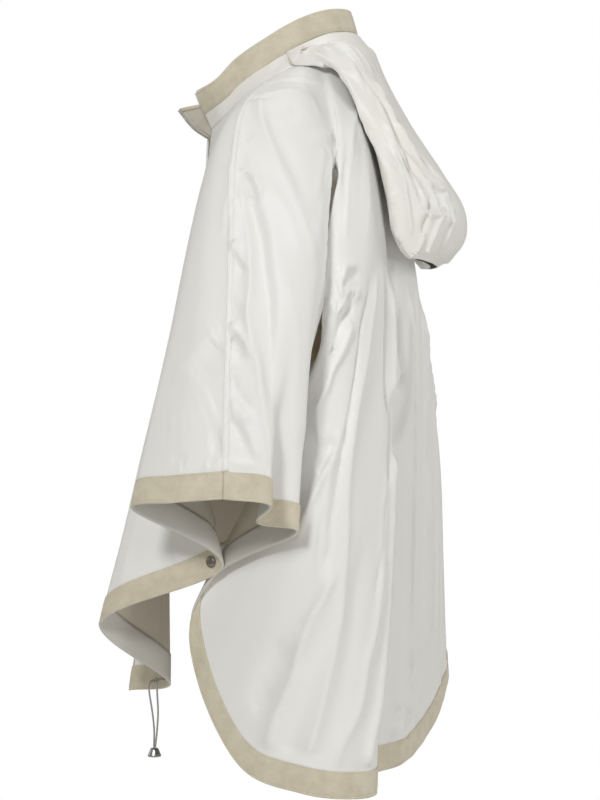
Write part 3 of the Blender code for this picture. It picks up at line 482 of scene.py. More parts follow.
    Crease("puff 4", [(389, 739), (398, 735), (412, 741)], 0.005, 0.004, -0.3, (0.2, 0.2)),
    Crease("puff 5", [(424, 690), (420, 710), (415, 728)], 0.004, 0.003, 0, (0.3, 0.2)),
    Crease("hook fold 1", [On(4.9, 0.402), On(5.3, 0.405), (345, 271), (354, 267),
            (362, 262)], 0.005, 0.0055, -0.4, (0.15, 0.3)),
    Crease("hook hollow 1", [On(5, 0.42), (346, 283), (352, 281),
            (360, 276)], 0.006, -0.004, 0, (0.2, 0.3)),
    Crease("hook fold 2", [On(4.9, 0.428), On(5.3, 0.43), (348, 294), (355, 295),
            (360, 298)], 0.005, 0.0055, -0.4, (0.15, 0.1)),
]


def mirrored(point):
    return (-point[0], point[1], point[2])


def collar_rows(side):
    """The collar's rows on one side, left = 1 and right = -1."""
    if side > 0:
        return COLLAR
    return [CollarRow(*(mirrored(point) for point in row)) for row in [RIGHT_COLLAR_FRONT] + COLLAR[1:]]


def side_folds(folds, changes):
    """The folds of the right side: the left's, mirrored, with the rows that differ."""
    found = []
    for fold in folds:
        shoulder, middle, hem = changes.get(fold.name, (fold.shoulder, fold.middle, fold.hem))
        found.append(Fold(fold.name, fold.neck, mirrored(shoulder), mirrored(middle), mirrored(hem)))
    return found


def evenly(line, distances):
    """The places at these distances along a line of points."""
    reach = np.concatenate([[0.0], np.cumsum(np.linalg.norm(np.diff(line, axis=0), axis=1))])
    return np.stack([np.interp(distances, reach, line[:, axis]) for axis in range(3)], axis=1)


def fold_line(fold, side):
    """The rows' places down one fold line, from the neck seam to the hem."""
    seam = on_curve([row.seam for row in collar_rows(side)], fold.neck)
    corners = [seam, fold.shoulder, fold.middle, fold.hem]
    line = np.array([on_curve(corners, 3 * step / 240) for step in range(241)])
    length = np.linalg.norm(np.diff(line, axis=0), axis=1).sum()
    rows = list(np.linspace(0, length - BAND_WIDTH, BODY_ROWS + 1))
    rows += list(np.linspace(length - BAND_WIDTH, length, BAND_ROWS + 1)[1:])
    return evenly(line, rows)


def panel_points(lines, columns, closer):
    """The panel's rows and columns of places, smooth from fold to fold, and each column's fold number."""
    lines = np.array(lines)
    last = len(lines) - 1
    rough = np.linspace(0, last, 20 * last + 1)
    level = np.array([on_curve(lines[:, BODY_ROWS * 3 // 5], place) for place in rough])
    reach = np.concatenate([[0.0], np.cumsum(np.linalg.norm(np.diff(level, axis=0), axis=1))])
    reach += rough * reach[-1] / last * 0.4
    crowd = np.where(np.linspace(0, 1, columns) < 0.5, 1.0, closer)
    crowd = np.convolve(np.pad(crowd, 10, mode="edge"), np.ones(21) / 21, mode="valid")
    count = np.concatenate([[0.0], np.cumsum(crowd)])
    places = np.interp(count / count[-1] * reach[-1], reach, rough)
    return np.stack([on_curve(lines, place) for place in places], axis=1), places


def outward(points):
    """The way out of the cloth at each place."""
    along = np.gradient(points, axis=1)
    down = np.gradient(points, axis=0)
    way = np.cross(down, along)
    return way / np.maximum(np.linalg.norm(way, axis=2, keepdims=True), 1e-9)


# How near to a crease's pixel the panel's spots are looked for, and how thick one layer of cloth is
NEAR_PIXELS = 6
WIDE_PIXELS = 8
LAYER_DEPTH = 0.012


def drawn(creases, points, places):
    """The creases with the pixels of their lines made places on the panel that the photo shows there."""
    ahead = np.array([-math.sin(CAMERA_TURN), math.cos(CAMERA_TURN), 0.0])
    aside = np.array([ahead[1], -ahead[0], 0.0])
    away = points - (np.array(CAMERA_AIM) - ahead * CAMERA_AWAY)
    far = away @ ahead
    across = PHOTO_WIDTH / 2 + FOCAL_PIXELS * (away @ aside) / far
    down = PHOTO_HEIGHT / 2 - FOCAL_PIXELS * away[:, :, 2] / far
    facing = (outward(points) * away).sum(axis=2) < 0
    marks = [round(float(place), 3) for place in places]
    found = []
    for crease in creases:
        path = []
        for spot in crease.path:
            if not isinstance(spot, On):
                apart = (across - spot[0]) ** 2 + (down - spot[1]) ** 2
                near = (apart < NEAR_PIXELS ** 2) & facing
                if not near.any():
                    near = apart < max(WIDE_PIXELS ** 2, apart.min() * 1.0001)
                seen = near & (far < far[near].min() + LAYER_DEPTH)
                row, column = np.unravel_index(np.where(seen, apart, np.inf).argmin(), apart.shape)
                spot = On(round(marks[column], 2), round(row / (len(points) - 1), 3))
            if spot not in path[-1:]:
                path.append(spot)
        found.append(crease._replace(path=path))
    return found


def spot_on(points, place, down, places):
    """The place on a panel at a fold number and a share of the way down."""
    rows, count = points.shape[:2]
    row = min(max(down, 0.0), 0.9999) * (rows - 1)
    column = min(np.interp(place, places, np.arange(count)), count - 1.0001)
    r, c = int(row), int(column)
    upper = points[r, c] * (1 - column + c) + points[r, c + 1] * (column - c)
    lower = points[r + 1, c] * (1 - column + c) + points[r + 1, c + 1] * (column - c)
    return upper * (1 - row + r) + lower * (row - r)


def eased(share):
    share = np.clip(share, 0.0, 1.0)
    return share * share * (3 - 2 * share)


def pressed(points, creases, places):
    """How far each place is moved out by the creases: a soft crest with long skirts for each."""
    ways = outward(points)
    moved = np.zeros(points.shape[:2])
    for crease in creases:
        corners = [spot_on(points, place, down, places) for place, down in crease.path]
        steps = 12 * (len(corners) - 1)
        line = np.array([on_curve(corners, (len(corners) - 1) * step / steps) for step in range(steps + 1)])
        length = np.linalg.norm(np.diff(line, axis=0), axis=1).sum()
        line = evenly(line, np.linspace(0, length, max(6, int(length / max(crease.width * 0.5, 0.003)))))
        reach = crease.width * 4
        near = ((points > line.min(axis=0) - reach) & (points < line.max(axis=0) + reach)).all(axis=2)
        if not near.any():
            continue
        spots = points[near]
        gaps = spots[:, None, :] - line[None, :, :]
        best = (gaps ** 2).sum(axis=2).argmin(axis=1)
        offset = gaps[np.arange(len(spots)), best]
        tangent = np.gradient(line, axis=0)
        tangent = (tangent / np.linalg.norm(tangent, axis=1, keepdims=True))[best]
        way = ways[near]
        aside = np.cross(tangent, way)
        aside /= np.maximum(np.linalg.norm(aside, axis=1, keepdims=True), 1e-9)
        across = (offset * aside).sum(axis=1) / crease.width
        depth = (offset * way).sum(axis=1) / crease.width
        beyond = (offset * tangent).sum(axis=1) / crease.width
        across = np.where(across > 0, across / (1 + crease.lean), across / (1 - crease.lean))
        if crease.height < 0 and crease.width > 0.0045:
            shape = np.exp(-0.8 * across ** 2 - 0.25 * depth ** 2 - 1.2 * beyond ** 2)
        else:
            shape = np.exp(-1.5 * (np.sqrt(across ** 2 + 0.04) - 0.2) - 0.25 * depth ** 2 - 2 * beyond ** 2)
        share = best / (len(line) - 1)
        begin, end = crease.fade
        shape *= eased(share / max(begin, 1e-3)) * eased((1 - share) / max(end, 1e-3))
        moved[near] += crease.height * shape
    return moved


# The most that a fold of a hidden side stands up
HIDDEN_HEIGHT = 0.0050


def varied(creases, seed, last=None, most=0.06):
    """Like creases, each a little different, and counted from the other side where last is given."""
    chance = random.Random(seed)
    found = []
    for crease in creases:
        slip, drop = chance.uniform(-most, most), chance.uniform(-most, most) / 5
        path = [((place if last is None else last - place) + slip, min(max(down + drop, 0.0), 0.99))
                for place, down in crease.path]
        height = min(max(crease.height * chance.uniform(0.7, 1.1), -HIDDEN_HEIGHT), HIDDEN_HEIGHT)
        width = crease.width * chance.uniform(0.9, 1.25)
        lean = crease.lean if last is None else -crease.lean
        found.append(crease._replace(path=path, width=width, height=height, lean=lean))
    return found


def rippled(points, seed, size, height):
    """Gentle uneven waves of the cloth, the same on every run."""
    moved = np.zeros(points.shape[:2])
    for row in range(points.shape[0]):
        for column in range(points.shape[1]):
            x, y, z = points[row, column]
            moved[row, column] = noise.noise(Vector((x / size + seed, y / size, z / (size * 2.2))))
    return moved * height


def hung_folds(points, seed, width, height):
    """Long soft folds that run down a panel's own lines, uneven in depth and spacing."""
    down = np.linspace(0, 1, points.shape[0])
    step = np.linalg.norm(np.diff(points[BODY_ROWS // 2], axis=0), axis=1)
    across = np.concatenate([[0.0], np.cumsum(step)])
    moved = np.zeros(points.shape[:2])
    for row, share in enumerate(down):
        for column, reach in enumerate(across):
            spot = Vector((reach / width + 0.6 * share, share * 1.3, seed))
            moved[row, column] = 0.5 - abs(noise.noise(spot)) * 1.6 + 0.3 * noise.noise(spot * 2.3)
    return moved * height * eased(down * 2.2)[:, None]


def softened(values, reach):
    """Rows and columns of values, each averaged with its neighbours."""
    for axis in (0, 1):
        padded = np.concatenate([np.repeat(values.take([0], axis), reach, axis), values,
                                 np.repeat(values.take([-1], axis), reach, axis)], axis)
        total = np.cumsum(np.concatenate([np.zeros_like(padded.take([0], axis)), padded], axis), axis=axis)
        size = 2 * reach + 1
        count = values.shape[axis]
        values = (total.take(range(size, size + count), axis) - total.take(range(count), axis)) / size
    return values


def hollow_shade_mask(points, reach, least, most):
    """How far each place lies in a hollow of the cloth, from 0 to 1: the mask of the shade painted into its
    colour.
    """
    depth = ((softened(softened(points, reach), reach) - points) * outward(points)).sum(axis=2)
    return eased((depth - least) / (most - least))


def cloth_mesh(name, points, hollow=None):
    """A sheet through rows and columns of places, with its own lengths in metres as UV."""
    rows, columns = points.shape[:2]
    sheet = bmesh.new()
    bmesh.ops.create_grid(sheet, x_segments=columns - 1, y_segments=rows - 1, size=0.5)
    mesh = bpy.data.meshes.new(name)
    sheet.to_mesh(mesh)
    sheet.free()
    flat = np.zeros(rows * columns * 3)
    mesh.vertices.foreach_get("co", flat)
    flat = flat.reshape(-1, 3)
    column = np.rint((flat[:, 0] + 0.5) * (columns - 1)).astype(int)
    row = np.rint((0.5 - flat[:, 1]) * (rows - 1)).astype(int)
    mesh.vertices.foreach_set("co", points[row, column].ravel())
    step = np.linalg.norm(np.diff(points, axis=1), axis=2)
    across = np.concatenate([np.zeros((rows, 1)), np.cumsum(step, axis=1)], axis=1)
    across -= across[:, columns // 2:columns // 2 + 1]
    drop = np.linalg.norm(np.diff(points, axis=0), axis=2)
    down = np.concatenate([np.zeros((1, columns)), np.cumsum(drop, axis=0)], axis=0)
    corner = np.zeros(len(mesh.loops), int)
    mesh.loops.foreach_get("vertex_index", corner)
    lengths = np.stack([across[row, column], -down[row, column]], axis=1)[corner]
    layer = mesh.uv_layers.new(name="Cloth")
    layer.data.foreach_set("uv", lengths.ravel())
    if hollow is None:
        hollow = np.zeros((rows, columns))
    # the mask of the painted shade, kept on the mesh for the cloth's finish
    depth = mesh.attributes.new("Painted hollow shade", "FLOAT", "POINT")
    depth.data.foreach_set("value", hollow[row, column])
    mesh.update()
    return mesh


def thicken(piece, thickness, offset, inner=0):
    """Gives a sheet its wall. The inner side takes the piece's next finish."""
    wall = piece.modifiers.new("Wall", "SOLIDIFY")
    wall.thickness = thickness
    wall.offset = offset
    wall.use_even_offset = False
    wall.use_rim = True
    wall.material_offset = inner
    return piece


def satin(name, pale, warm, shade, roughness, crinkle):
    """Satin rain cloth: a fine diagonal weave, small soft crinkles and a pearly sheen, with shade painted
    into its colour in the cloth's hollows.
    """
    made = bpy.data.materials.new(name)
    made.use_nodes = True
    tree = made.node_tree
    surface = tree.nodes["Principled BSDF"]
    surface.inputs["Sheen Weight"].default_value = 0.08
    surface.inputs["Sheen Roughness"].default_value = 0.4
    surface.inputs["Specular IOR Level"].default_value = 0.5
    surface.inputs["Coat Weight"].default_value = 0.04
    surface.inputs["Coat Roughness"].default_value = 0.40
    place = add_node(tree, "ShaderNodeUVMap", uv_map="Cloth")
    cloudy = add_node(tree, "ShaderNodeTexNoise", Scale=9.0, Detail=5.0)
    tint = add_node(tree, "ShaderNodeMix", data_type="RGBA")
    tint.inputs[6].default_value = (*warm, 1)
    tint.inputs[7].default_value = (*pale, 1)
    # painted shade: where the cloth lies in a hollow, its colour is mixed towards the shade colour
    hollow = add_node(tree, "ShaderNodeAttribute", attribute_name="Painted hollow shade")
    painted_shade_mix = add_node(tree, "ShaderNodeMix", data_type="RGBA")
    painted_shade_mix.inputs[7].default_value = (*shade, 1)
    soft = add_node(tree, "ShaderNodeMapping")
    soft.inputs["Scale"].default_value = (1.0, 0.35, 1.0)
    crinkles = add_node(tree, "ShaderNodeTexNoise", Scale=70.0, Detail=5.0, Roughness=0.55, Distortion=0.6)
    weave = add_node(tree, "ShaderNodeTexWave", Scale=420.0, Distortion=0.6, Detail=1.0)
    weave.bands_direction = "DIAGONAL"
    rough = add_node(tree, "ShaderNodeMapRange")
    rough.inputs["To Min"].default_value = roughness * 0.88
    rough.inputs["To Max"].default_value = roughness * 1.12
    big = add_node(tree, "ShaderNodeBump", Strength=crinkle, Distance=0.0016)
    fine = add_node(tree, "ShaderNodeBump", Strength=0.10, Distance=0.0001)
    links = tree.links
    links.new(place.outputs["UV"], cloudy.inputs["Vector"])
    links.new(place.outputs["UV"], soft.inputs["Vector"])
    links.new(soft.outputs["Vector"], crinkles.inputs["Vector"])
    links.new(place.outputs["UV"], weave.inputs["Vector"])
    links.new(cloudy.outputs["Fac"], tint.inputs["Factor"])
    links.new(cloudy.outputs["Fac"], rough.inputs["Value"])
    links.new(crinkles.outputs["Fac"], big.inputs["Height"])
    links.new(weave.outputs["Fac"], fine.inputs["Height"])
    links.new(big.outputs["Normal"], fine.inputs["Normal"])
    links.new(fine.outputs["Normal"], surface.inputs["Normal"])
    links.new(tint.outputs[2], painted_shade_mix.inputs[6])
    links.new(hollow.outputs["Fac"], painted_shade_mix.inputs["Factor"])
    links.new(painted_shade_mix.outputs[2], surface.inputs["Base Color"])
    links.new(rough.outputs["Result"], surface.inputs["Roughness"])
    return made


shell_satin = satin("Outer satin", (0.87, 0.865, 0.85), (0.855, 0.845, 0.82), (0.48, 0.37, 0.22),
                    roughness=0.53, crinkle=0.10)
# painted shade: the inner side is the same white satin, given a darker tan colour for the shade and warm
# glow inside the cape
shaded_inner_satin = satin("Outer cloth inner side in painted shade", (0.72, 0.67, 0.58), (0.66, 0.60, 0.50), (0.50, 0.42, 0.32),
                   roughness=0.55, crinkle=0.18)

panels = {}
for name, side in (("front_left", 1), ("front_right", -1)):
    folds = LEFT_FRONT if side > 0 else side_folds(LEFT_FRONT, RIGHT_FRONT_CHANGES)
    lines = [fold_line(fold, side) for fold in folds]
    panels[name] = panel_points(lines if side > 0 else lines[::-1], *PANEL_COLUMNS[name])
left = [fold_line(fold, 1) for fold in LEFT_BACK]
right = [fold_line(fold, -1) for fold in side_folds(LEFT_BACK, RIGHT_BACK_CHANGES)][::-1]
panels["back"] = panel_points(left[:-1] + right[1:], *PANEL_COLUMNS["back"])

# The hollow behind each arm bends forward under the shoulder
HOLLOW_FORWARD = 0.016
HOLLOW_PLACE = 4.1
HOLLOW_WIDTH = 0.75
HOLLOW_DOWN = 0.37
HOLLOW_HEIGHT = 0.09
points, places = panels["back"]
bend = sum(np.exp(-((places - middle) / HOLLOW_WIDTH) ** 2)
           for middle in (HOLLOW_PLACE, places[-1] - HOLLOW_PLACE))
level = np.exp(-((np.linspace(0, 1, len(points)) - HOLLOW_DOWN) / HOLLOW_HEIGHT) ** 2)
points[:, :, 1] -= HOLLOW_FORWARD * level[:, None] * bend[None, :]

# Each cut laid flat: the box around it and its own area
CUTS = {
    "front_left": ((0.50, 0.72), 0.206),
    "front_right": ((0.50, 0.72), 0.200),
    "back": ((1.35, 0.86), 0.656)}
RIPPLE_SIZE = 0.05
RIPPLE_HEIGHT = 0.0007
HUNG_WIDTH = 0.045
SOFT_REACH = 8
# how deep the cloth's hollows are where their painted shade begins and where it is full
SHADE_DEPTHS = (0.0040, 0.0120)
shells = {}
shell_pieces = {}
for seed, (name, (points, places)) in enumerate(panels.items()):
    if name == "front_left":
        creases = front_creases = drawn(FRONT_CREASES, points, places)
    elif name == "front_right":
        creases = varied(front_creases, 5, len(LEFT_FRONT) - 1)
    else:
        creases = drawn(BACK_CREASES, points, places)
        creases += varied(creases[:-3], 8, 2 * (len(LEFT_BACK) - 1))
    moved = pressed(points, creases, places) + rippled(points, seed * 7.3, RIPPLE_SIZE, RIPPLE_HEIGHT)
    moved -= softened(softened(moved, SOFT_REACH), SOFT_REACH) * 0.8
    moved += hung_folds(points, seed * 3.7, HUNG_WIDTH, 0.0010 if name == "back" else 0.0005)
    points = points + outward(points) * moved[:, :, None]
    shells[name] = points
    # painted shade in the hollows: full on the back, at 0.3 on the fronts
    hollow = hollow_shade_mask(points, SOFT_REACH, *SHADE_DEPTHS) * (1.0 if name == "back" else 0.3)
    shell = put(cloth_mesh(name + "_cloth", points, hollow), name + "_cloth", shell_satin, shaded_inner_satin)
    thicken(shell, CLOTH_THICKNESS, 0.0, 1)
    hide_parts(name)
    shell_pieces[name] = (shell, *CUTS[name])

# Hem trim: a flat band of cream suede on the outside of each hem, turned under and stitched
# along both edges, and a facing of grey-white satin on the inside.
SEAM_GAP = 0.0003
FACING_WIDTH_ROWS = 10
FACING_THICKNESS = 0.0008
TRIM_THICKNESS = 0.0009
STITCH_ROWS = (0.080, 0.920)
STITCH_PITCH = 0.0034
STITCH_LENGTH = 0.0024
STITCH_RADIUS = 0.00032
# share of the way across the band, and how far it stands out of the cloth there
BAND_SHAPE = [
    (0.0, 0.0003), (0.012, 0.0010), (0.035, 0.0014), (0.066, 0.0012), (0.080, 0.0009), (0.094, 0.0012),
    (0.16, 0.0014), (0.32, 0.0015), (0.50, 0.0015), (0.68, 0.0015), (0.84, 0.0014), (0.906, 0.0012),
    (0.920, 0.0009), (0.934, 0.0012), (0.965, 0.0014), (0.988, 0.0010), (1.0, 0.0003)]


def suede(name, pale, dark):
    """Napped suede: soft blotches where it has been stroked and a fine nap."""
    made = bpy.data.materials.new(name)
    made.use_nodes = True
    tree = made.node_tree
    surface = tree.nodes["Principled BSDF"]
    surface.inputs["Roughness"].default_value = 0.92
    surface.inputs["Sheen Weight"].default_value = 0.25
    surface.inputs["Sheen Roughness"].default_value = 0.5
    surface.inputs["Specular IOR Level"].default_value = 0.15
    place = add_node(tree, "ShaderNodeTexCoord")
    blotch = add_node(tree, "ShaderNodeTexNoise", Scale=55.0, Detail=5.0, Roughness=0.6)
    nap = add_node(tree, "ShaderNodeTexNoise", Scale=1500.0, Detail=3.0)
    mixed = add_node(tree, "ShaderNodeMix", data_type="RGBA")
    mixed.inputs[6].default_value = (*dark, 1)
    mixed.inputs[7].default_value = (*pale, 1)
    spread = add_node(tree, "ShaderNodeMapRange")
    spread.inputs["From Min"].default_value = 0.34
    spread.inputs["From Max"].default_value = 0.62
    grain = add_node(tree, "ShaderNodeMix", data_type="RGBA", blend_type="MULTIPLY")
    grain.inputs["Factor"].default_value = 0.30
    bump = add_node(tree, "ShaderNodeBump", Strength=0.35, Distance=0.0003)
    soft = add_node(tree, "ShaderNodeBump", Strength=0.25, Distance=0.0012)
    links = tree.links
    links.new(place.outputs["Object"], blotch.inputs["Vector"])
    links.new(place.outputs["Object"], nap.inputs["Vector"])
    links.new(blotch.outputs["Fac"], spread.inputs["Value"])
    links.new(spread.outputs["Result"], mixed.inputs["Factor"])
    links.new(mixed.outputs[2], grain.inputs[6])
    links.new(nap.outputs["Fac"], grain.inputs[7])
    links.new(grain.outputs[2], surface.inputs["Base Color"])
    links.new(blotch.outputs["Fac"], soft.inputs["Height"])
    links.new(nap.outputs["Fac"], bump.inputs["Height"])
    links.new(soft.outputs["Normal"], bump.inputs["Normal"])
    links.new(bump.outputs["Normal"], surface.inputs["Normal"])
    return made


cream_suede = suede("Cream suede", (0.80, 0.735, 0.575), (0.70, 0.635, 0.485))
facing_satin = satin("Facing satin", (0.66, 0.645, 0.60), (0.62, 0.60, 0.55), (0.5, 0.46, 0.38),
                     roughness=0.45, crinkle=0.15)
thread_white = bpy.data.materials.new("White thread")
thread_white.use_nodes = True
tree = thread_white.node_tree
tree.nodes["Principled BSDF"].inputs["Roughness"].default_value = 0.6
twist = add_node(tree, "ShaderNodeTexNoise", Scale=1800.0, Detail=2.0)
place = add_node(tree, "ShaderNodeTexCoord")
tint = add_node(tree, "ShaderNodeMix", data_type="RGBA")
tint.inputs[6].default_value = (0.72, 0.69, 0.62, 1)
tint.inputs[7].default_value = (0.86, 0.84, 0.79, 1)
tree.links.new(place.outputs["Object"], twist.inputs["Vector"])
tree.links.new(twist.outputs["Fac"], tint.inputs["Factor"])
tree.links.new(tint.outputs[2], tree.nodes["Principled BSDF"].inputs["Base Color"])


def between_rows(points, row):
    """The places of a panel at a row that may lie between two of its own."""
    index = min(int(row), points.shape[0] - 2)
    return points[index] * (1 - row + index) + points[index + 1] * (row - index)


def stitched(name, lines, finish):
    """Rows of short stitches along lines of places, each lying on the way out there."""
    sewing = bmesh.new()
    for line, ways in lines:
        reach = np.concatenate([[0.0], np.cumsum(np.linalg.norm(np.diff(line, axis=0), axis=1))])
        count = int(reach[-1] / STITCH_PITCH)
        for step in range(count):
            start, end = ((step + share) * STITCH_PITCH
                          for share in (0.15, 0.15 + STITCH_LENGTH / STITCH_PITCH))
            a, b = (Vector([np.interp(at, reach, line[:, axis]) for axis in range(3)])
                    for at in (start, end))
            way = Vector([np.interp(start, reach, ways[:, axis]) for axis in range(3)]).normalized()
            along = (b - a).normalized()
            aside = along.cross(way).normalized()
            turn = Matrix((aside, along, way)).transposed().to_4x4()
            size = Matrix.Diagonal((STITCH_RADIUS, (b - a).length / 2, STITCH_RADIUS * 0.8, 1.0))
            bmesh.ops.create_icosphere(
                sewing, subdivisions=1, radius=1.0,
                matrix=Matrix.Translation((a + b) / 2 + way * STITCH_RADIUS * 0.25) @ turn @ size)
    mesh = bpy.data.meshes.new(name)
    sewing.to_mesh(mesh)
    sewing.free()
    return put(mesh, name, finish)


for name, points in shells.items():
    ways = outward(points)
    body = points.shape[0] - 1 - BAND_ROWS
    rows = []
    for share, height in BAND_SHAPE:
        row = body + share * BAND_ROWS
        spots, out = between_rows(points, row), between_rows(ways, row)
        soft = np.array([noise.noise(Vector(spot * 60)) for spot in spots])[:, None]
        rows.append(spots + out * (CLOTH_THICKNESS / 2 + height + 0.0003 * soft * math.sin(math.pi * share)))
    band = put(cloth_mesh(name + "_band", np.array(rows)), name + "_band", cream_suede)
    thicken(band, TRIM_THICKNESS, -1.0)
    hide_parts(name + "_hem_band")
    inside = points[-FACING_WIDTH_ROWS:, 2:-2]
    inside = inside - ways[-FACING_WIDTH_ROWS:, 2:-2] * (CLOTH_THICKNESS / 2 + SEAM_GAP)
    facing = put(cloth_mesh(name + "_facing", inside), name + "_facing", facing_satin)
    thicken(facing, FACING_THICKNESS, -1.0)
    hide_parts(name + "_hem_facing")
    lines = []
    for share in STITCH_ROWS:
        row = body + share * BAND_ROWS
        spots, out = between_rows(points, row), between_rows(ways, row)
        lines.append((spots + out * (CLOTH_THICKNESS / 2 + 0.0010), out))
    sewn = stitched(name + "_hem_stitches", lines, thread_white)
    shell, flat, area = shell_pieces[name]


# Side seams: the back lies over the front in a felled seam, with two rows of stitches that
# draw it into small puckers.
SEAM_WIDTH = 0.0070
SEAM_HEIGHT = 0.0006
SEAM_THICKNESS = 0.0006
SEAM_COLUMNS = 8


def beside(points, way, distance):
    """The place on each row at that distance from the row's end, on the way in."""
    line = points[:, :8] if way > 0 else points[:, :-9:-1]
    reach = np.concatenate([np.zeros((len(line), 1)),
                            np.cumsum(np.linalg.norm(np.diff(line, axis=1), axis=2), axis=1)], axis=1)
    return np.array([[np.interp(distance, reach[row], line[row, :, axis]) for axis in range(3)]
                     for row in range(len(line))])


for side, front in ((1, "front_left"), (-1, "front_right")):
    rows = []
    body = shells["back"].shape[0] - 1 - BAND_ROWS
    for share in np.linspace(-0.2, 0.8, SEAM_COLUMNS + 1):
        name, way = ("back", side) if share >= 0 else (front, -side)
        spots = beside(shells[name], way, abs(share) * SEAM_WIDTH)
        out = outward(shells[name])[:, (0 if way > 0 else -1)]
        high = max(math.sin(math.pi * (share + 0.2) * 0.94 + 0.08), 0.0) ** 0.3
        pucker = np.array([noise.noise(Vector(spot * 210)) for spot in spots])[:, None] * 0.0003
        rows.append(spots + out * (CLOTH_THICKNESS / 2 + SEAM_HEIGHT * high + pucker))
    rows = np.stack(rows, axis=1)[2:body + 1]
    out = out[2:body + 1]
    if side < 0:
        rows = rows[:, ::-1]
    side_name = "left" if side > 0 else "right"
    seam = put(cloth_mesh("side_seam_" + side_name, rows), "side_seam_" + side_name, shell_satin)
    thicken(seam, SEAM_THICKNESS, -1.0)
    lines = [(rows[:, column] + out * 0.0001, out) for column in (2, SEAM_COLUMNS - 2)]
    stitched("side_stitches_" + side_name, lines, thread_white)


# Collar: a standing band of the hood's thinner satin with a suede trim folded over its top
# edge, and a suede facing inside.
COLLAR_COLUMNS = 22
STAND_ROWS = 8
TRIM_ROWS = 12
COLLAR_FACING_IN = 0.0008
hood_satin = satin("Hood satin", (0.87, 0.86, 0.83), (0.86, 0.84, 0.79), (0.72, 0.60, 0.44),
                   roughness=0.44, crinkle=0.26)


def collar_line(column):
    """One edge of the collar, from its left front round the neck to its right front."""
    left, right = ([getattr(row, column) for row in collar_rows(side)] for side in (1, -1))
    whole = left + right[-2::-1]
    count = (len(whole) - 1) * COLLAR_COLUMNS
    return np.array([on_curve(whole, step / COLLAR_COLUMNS) for step in range(count + 1)])


seam_line, edge_line, top_line = (collar_line(column) for column in ("seam", "trim_edge", "top"))
levels = np.array([seam_line, edge_line, top_line])
shares = list(np.linspace(2.0, 1.0, TRIM_ROWS + 1)) + list(np.linspace(1.0, 0.0, STAND_ROWS + 1)[1:])
collar_points = np.array([on_curve(levels, share) for share in shares])
collar_ways = outward(collar_points)
up_way = top_line - edge_line
up_way /= np.linalg.norm(up_way, axis=1, keepdims=True)

stand_points = collar_points + collar_ways * rippled(collar_points, 3.1, 0.012, 0.0007)[:, :, None]
stand_points[-1] -= up_way * 0.0015
stand_points[-3:] += collar_ways[-3:] * np.array([0.0002, 0.0006, 0.0012])[:, None, None]
stand = put(cloth_mesh("collar_stand_cloth", stand_points), "collar_stand_cloth", hood_satin)
thicken(stand, CLOTH_THICKNESS, 0.0)
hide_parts("collar_stand")

# share of the way down the trim from its top edge, how far out, and how far above
TRIM_SHAPE = [
    (0.16, -0.0022, 0.0), (0.06, -0.0024, 0.0), (0.0, -0.0020, 0.0004), (0.0, -0.0008, 0.0013),
    (0.0, 0.0006, 0.0014), (0.0, 0.0016, 0.0008), (0.02, 0.0022, 0.0), (0.06, 0.0023, 0.0),
    (0.080, 0.0019, 0.0), (0.10, 0.0023, 0.0), (0.20, 0.0025, 0.0), (0.35, 0.0026, 0.0),
    (0.50, 0.0026, 0.0), (0.65, 0.0026, 0.0), (0.80, 0.0025, 0.0), (0.90, 0.0023, 0.0),
    (0.920, 0.0019, 0.0), (0.94, 0.0023, 0.0), (0.97, 0.0022, 0.0), (0.99, 0.0016, 0.0),
    (1.0, 0.0009, 0.0)]
rows = []
for share, out, above in TRIM_SHAPE:
    spots = between_rows(collar_points, share * TRIM_ROWS)
    ways = between_rows(collar_ways, share * TRIM_ROWS)
    soft = np.array([noise.noise(Vector(spot * 55)) for spot in spots])[:, None] * 0.0004
    rows.append(spots + ways * (out - 0.0004 + soft * (1 if out > 0.002 else 0)) + up_way * above)
trim = put(cloth_mesh("collar_trim_suede", np.array(rows)), "collar_trim_suede", cream_suede)
thicken(trim, TRIM_THICKNESS, -1.0)
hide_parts("collar_trim")
lines = []
for share in STITCH_ROWS:
    spots = between_rows(collar_points, share * TRIM_ROWS)
    ways = between_rows(collar_ways, share * TRIM_ROWS)
    lines.append((spots + ways * 0.0016, ways))
collar_sewing = stitched("collar_stitches", lines, thread_white)
# painted shade: the collar's inside takes a darker, greyer copy of the cream suede for the shade that falls
# inside the collar
shaded_collar_suede = suede("Collar facing suede in painted shade", (0.66, 0.62, 0.53), (0.58, 0.54, 0.45))
inside = collar_points[:, 1:-1] - collar_ways[:, 1:-1] * COLLAR_FACING_IN
collar_facing = put(cloth_mesh("collar_facing_suede", inside), "collar_facing_suede", shaded_collar_suede)
thicken(collar_facing, FACING_THICKNESS, -1.0)
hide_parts("collar_facing")


# Hood: a flat pouch of the thinner satin that hangs down the back from the collar's seam, in two
# halves joined down the middle. It has fallen into fine slanting folds.
HoodRow = namedtuple("HoodRow", "side_x side_y side_z side_gap back_y back_z back_gap")
HOOD = [
    HoodRow(0.094, 0.040, 0.016, 0.0040, 0.0970, 0.026, 0.0040),
    HoodRow(0.118, 0.076, -0.012, 0.0040, 0.1075, -0.002, 0.0050),
    HoodRow(0.124, 0.104, -0.060, 0.0070, 0.1340, -0.064, 0.0120),
    HoodRow(0.117, 0.126, -0.108, 0.0110, 0.1600, -0.120, 0.0230),
    HoodRow(0.108, 0.142, -0.156, 0.0160, 0.1760, -0.165, 0.0330),
    HoodRow(0.100, 0.150, -0.195, 0.0170, 0.1800, -0.197, 0.0300),
    HoodRow(0.094, 0.153, -0.216, 0.0125, 0.1770, -0.216, 0.0200),
    HoodRow(0.090, 0.155, -0.2278, 0.0045, 0.1710, -0.230, 0.0040),
]
HOOD_FACE_COLUMNS = 84
HOOD_SIDE_COLUMNS = 16
HOOD_ROWS = 170
HOOD_SEAM_END = 3.45
# how deep the hood's hollows are where their painted shade begins and where it is full
HOOD_SHADE_DEPTHS = (0.0008, 0.0050)

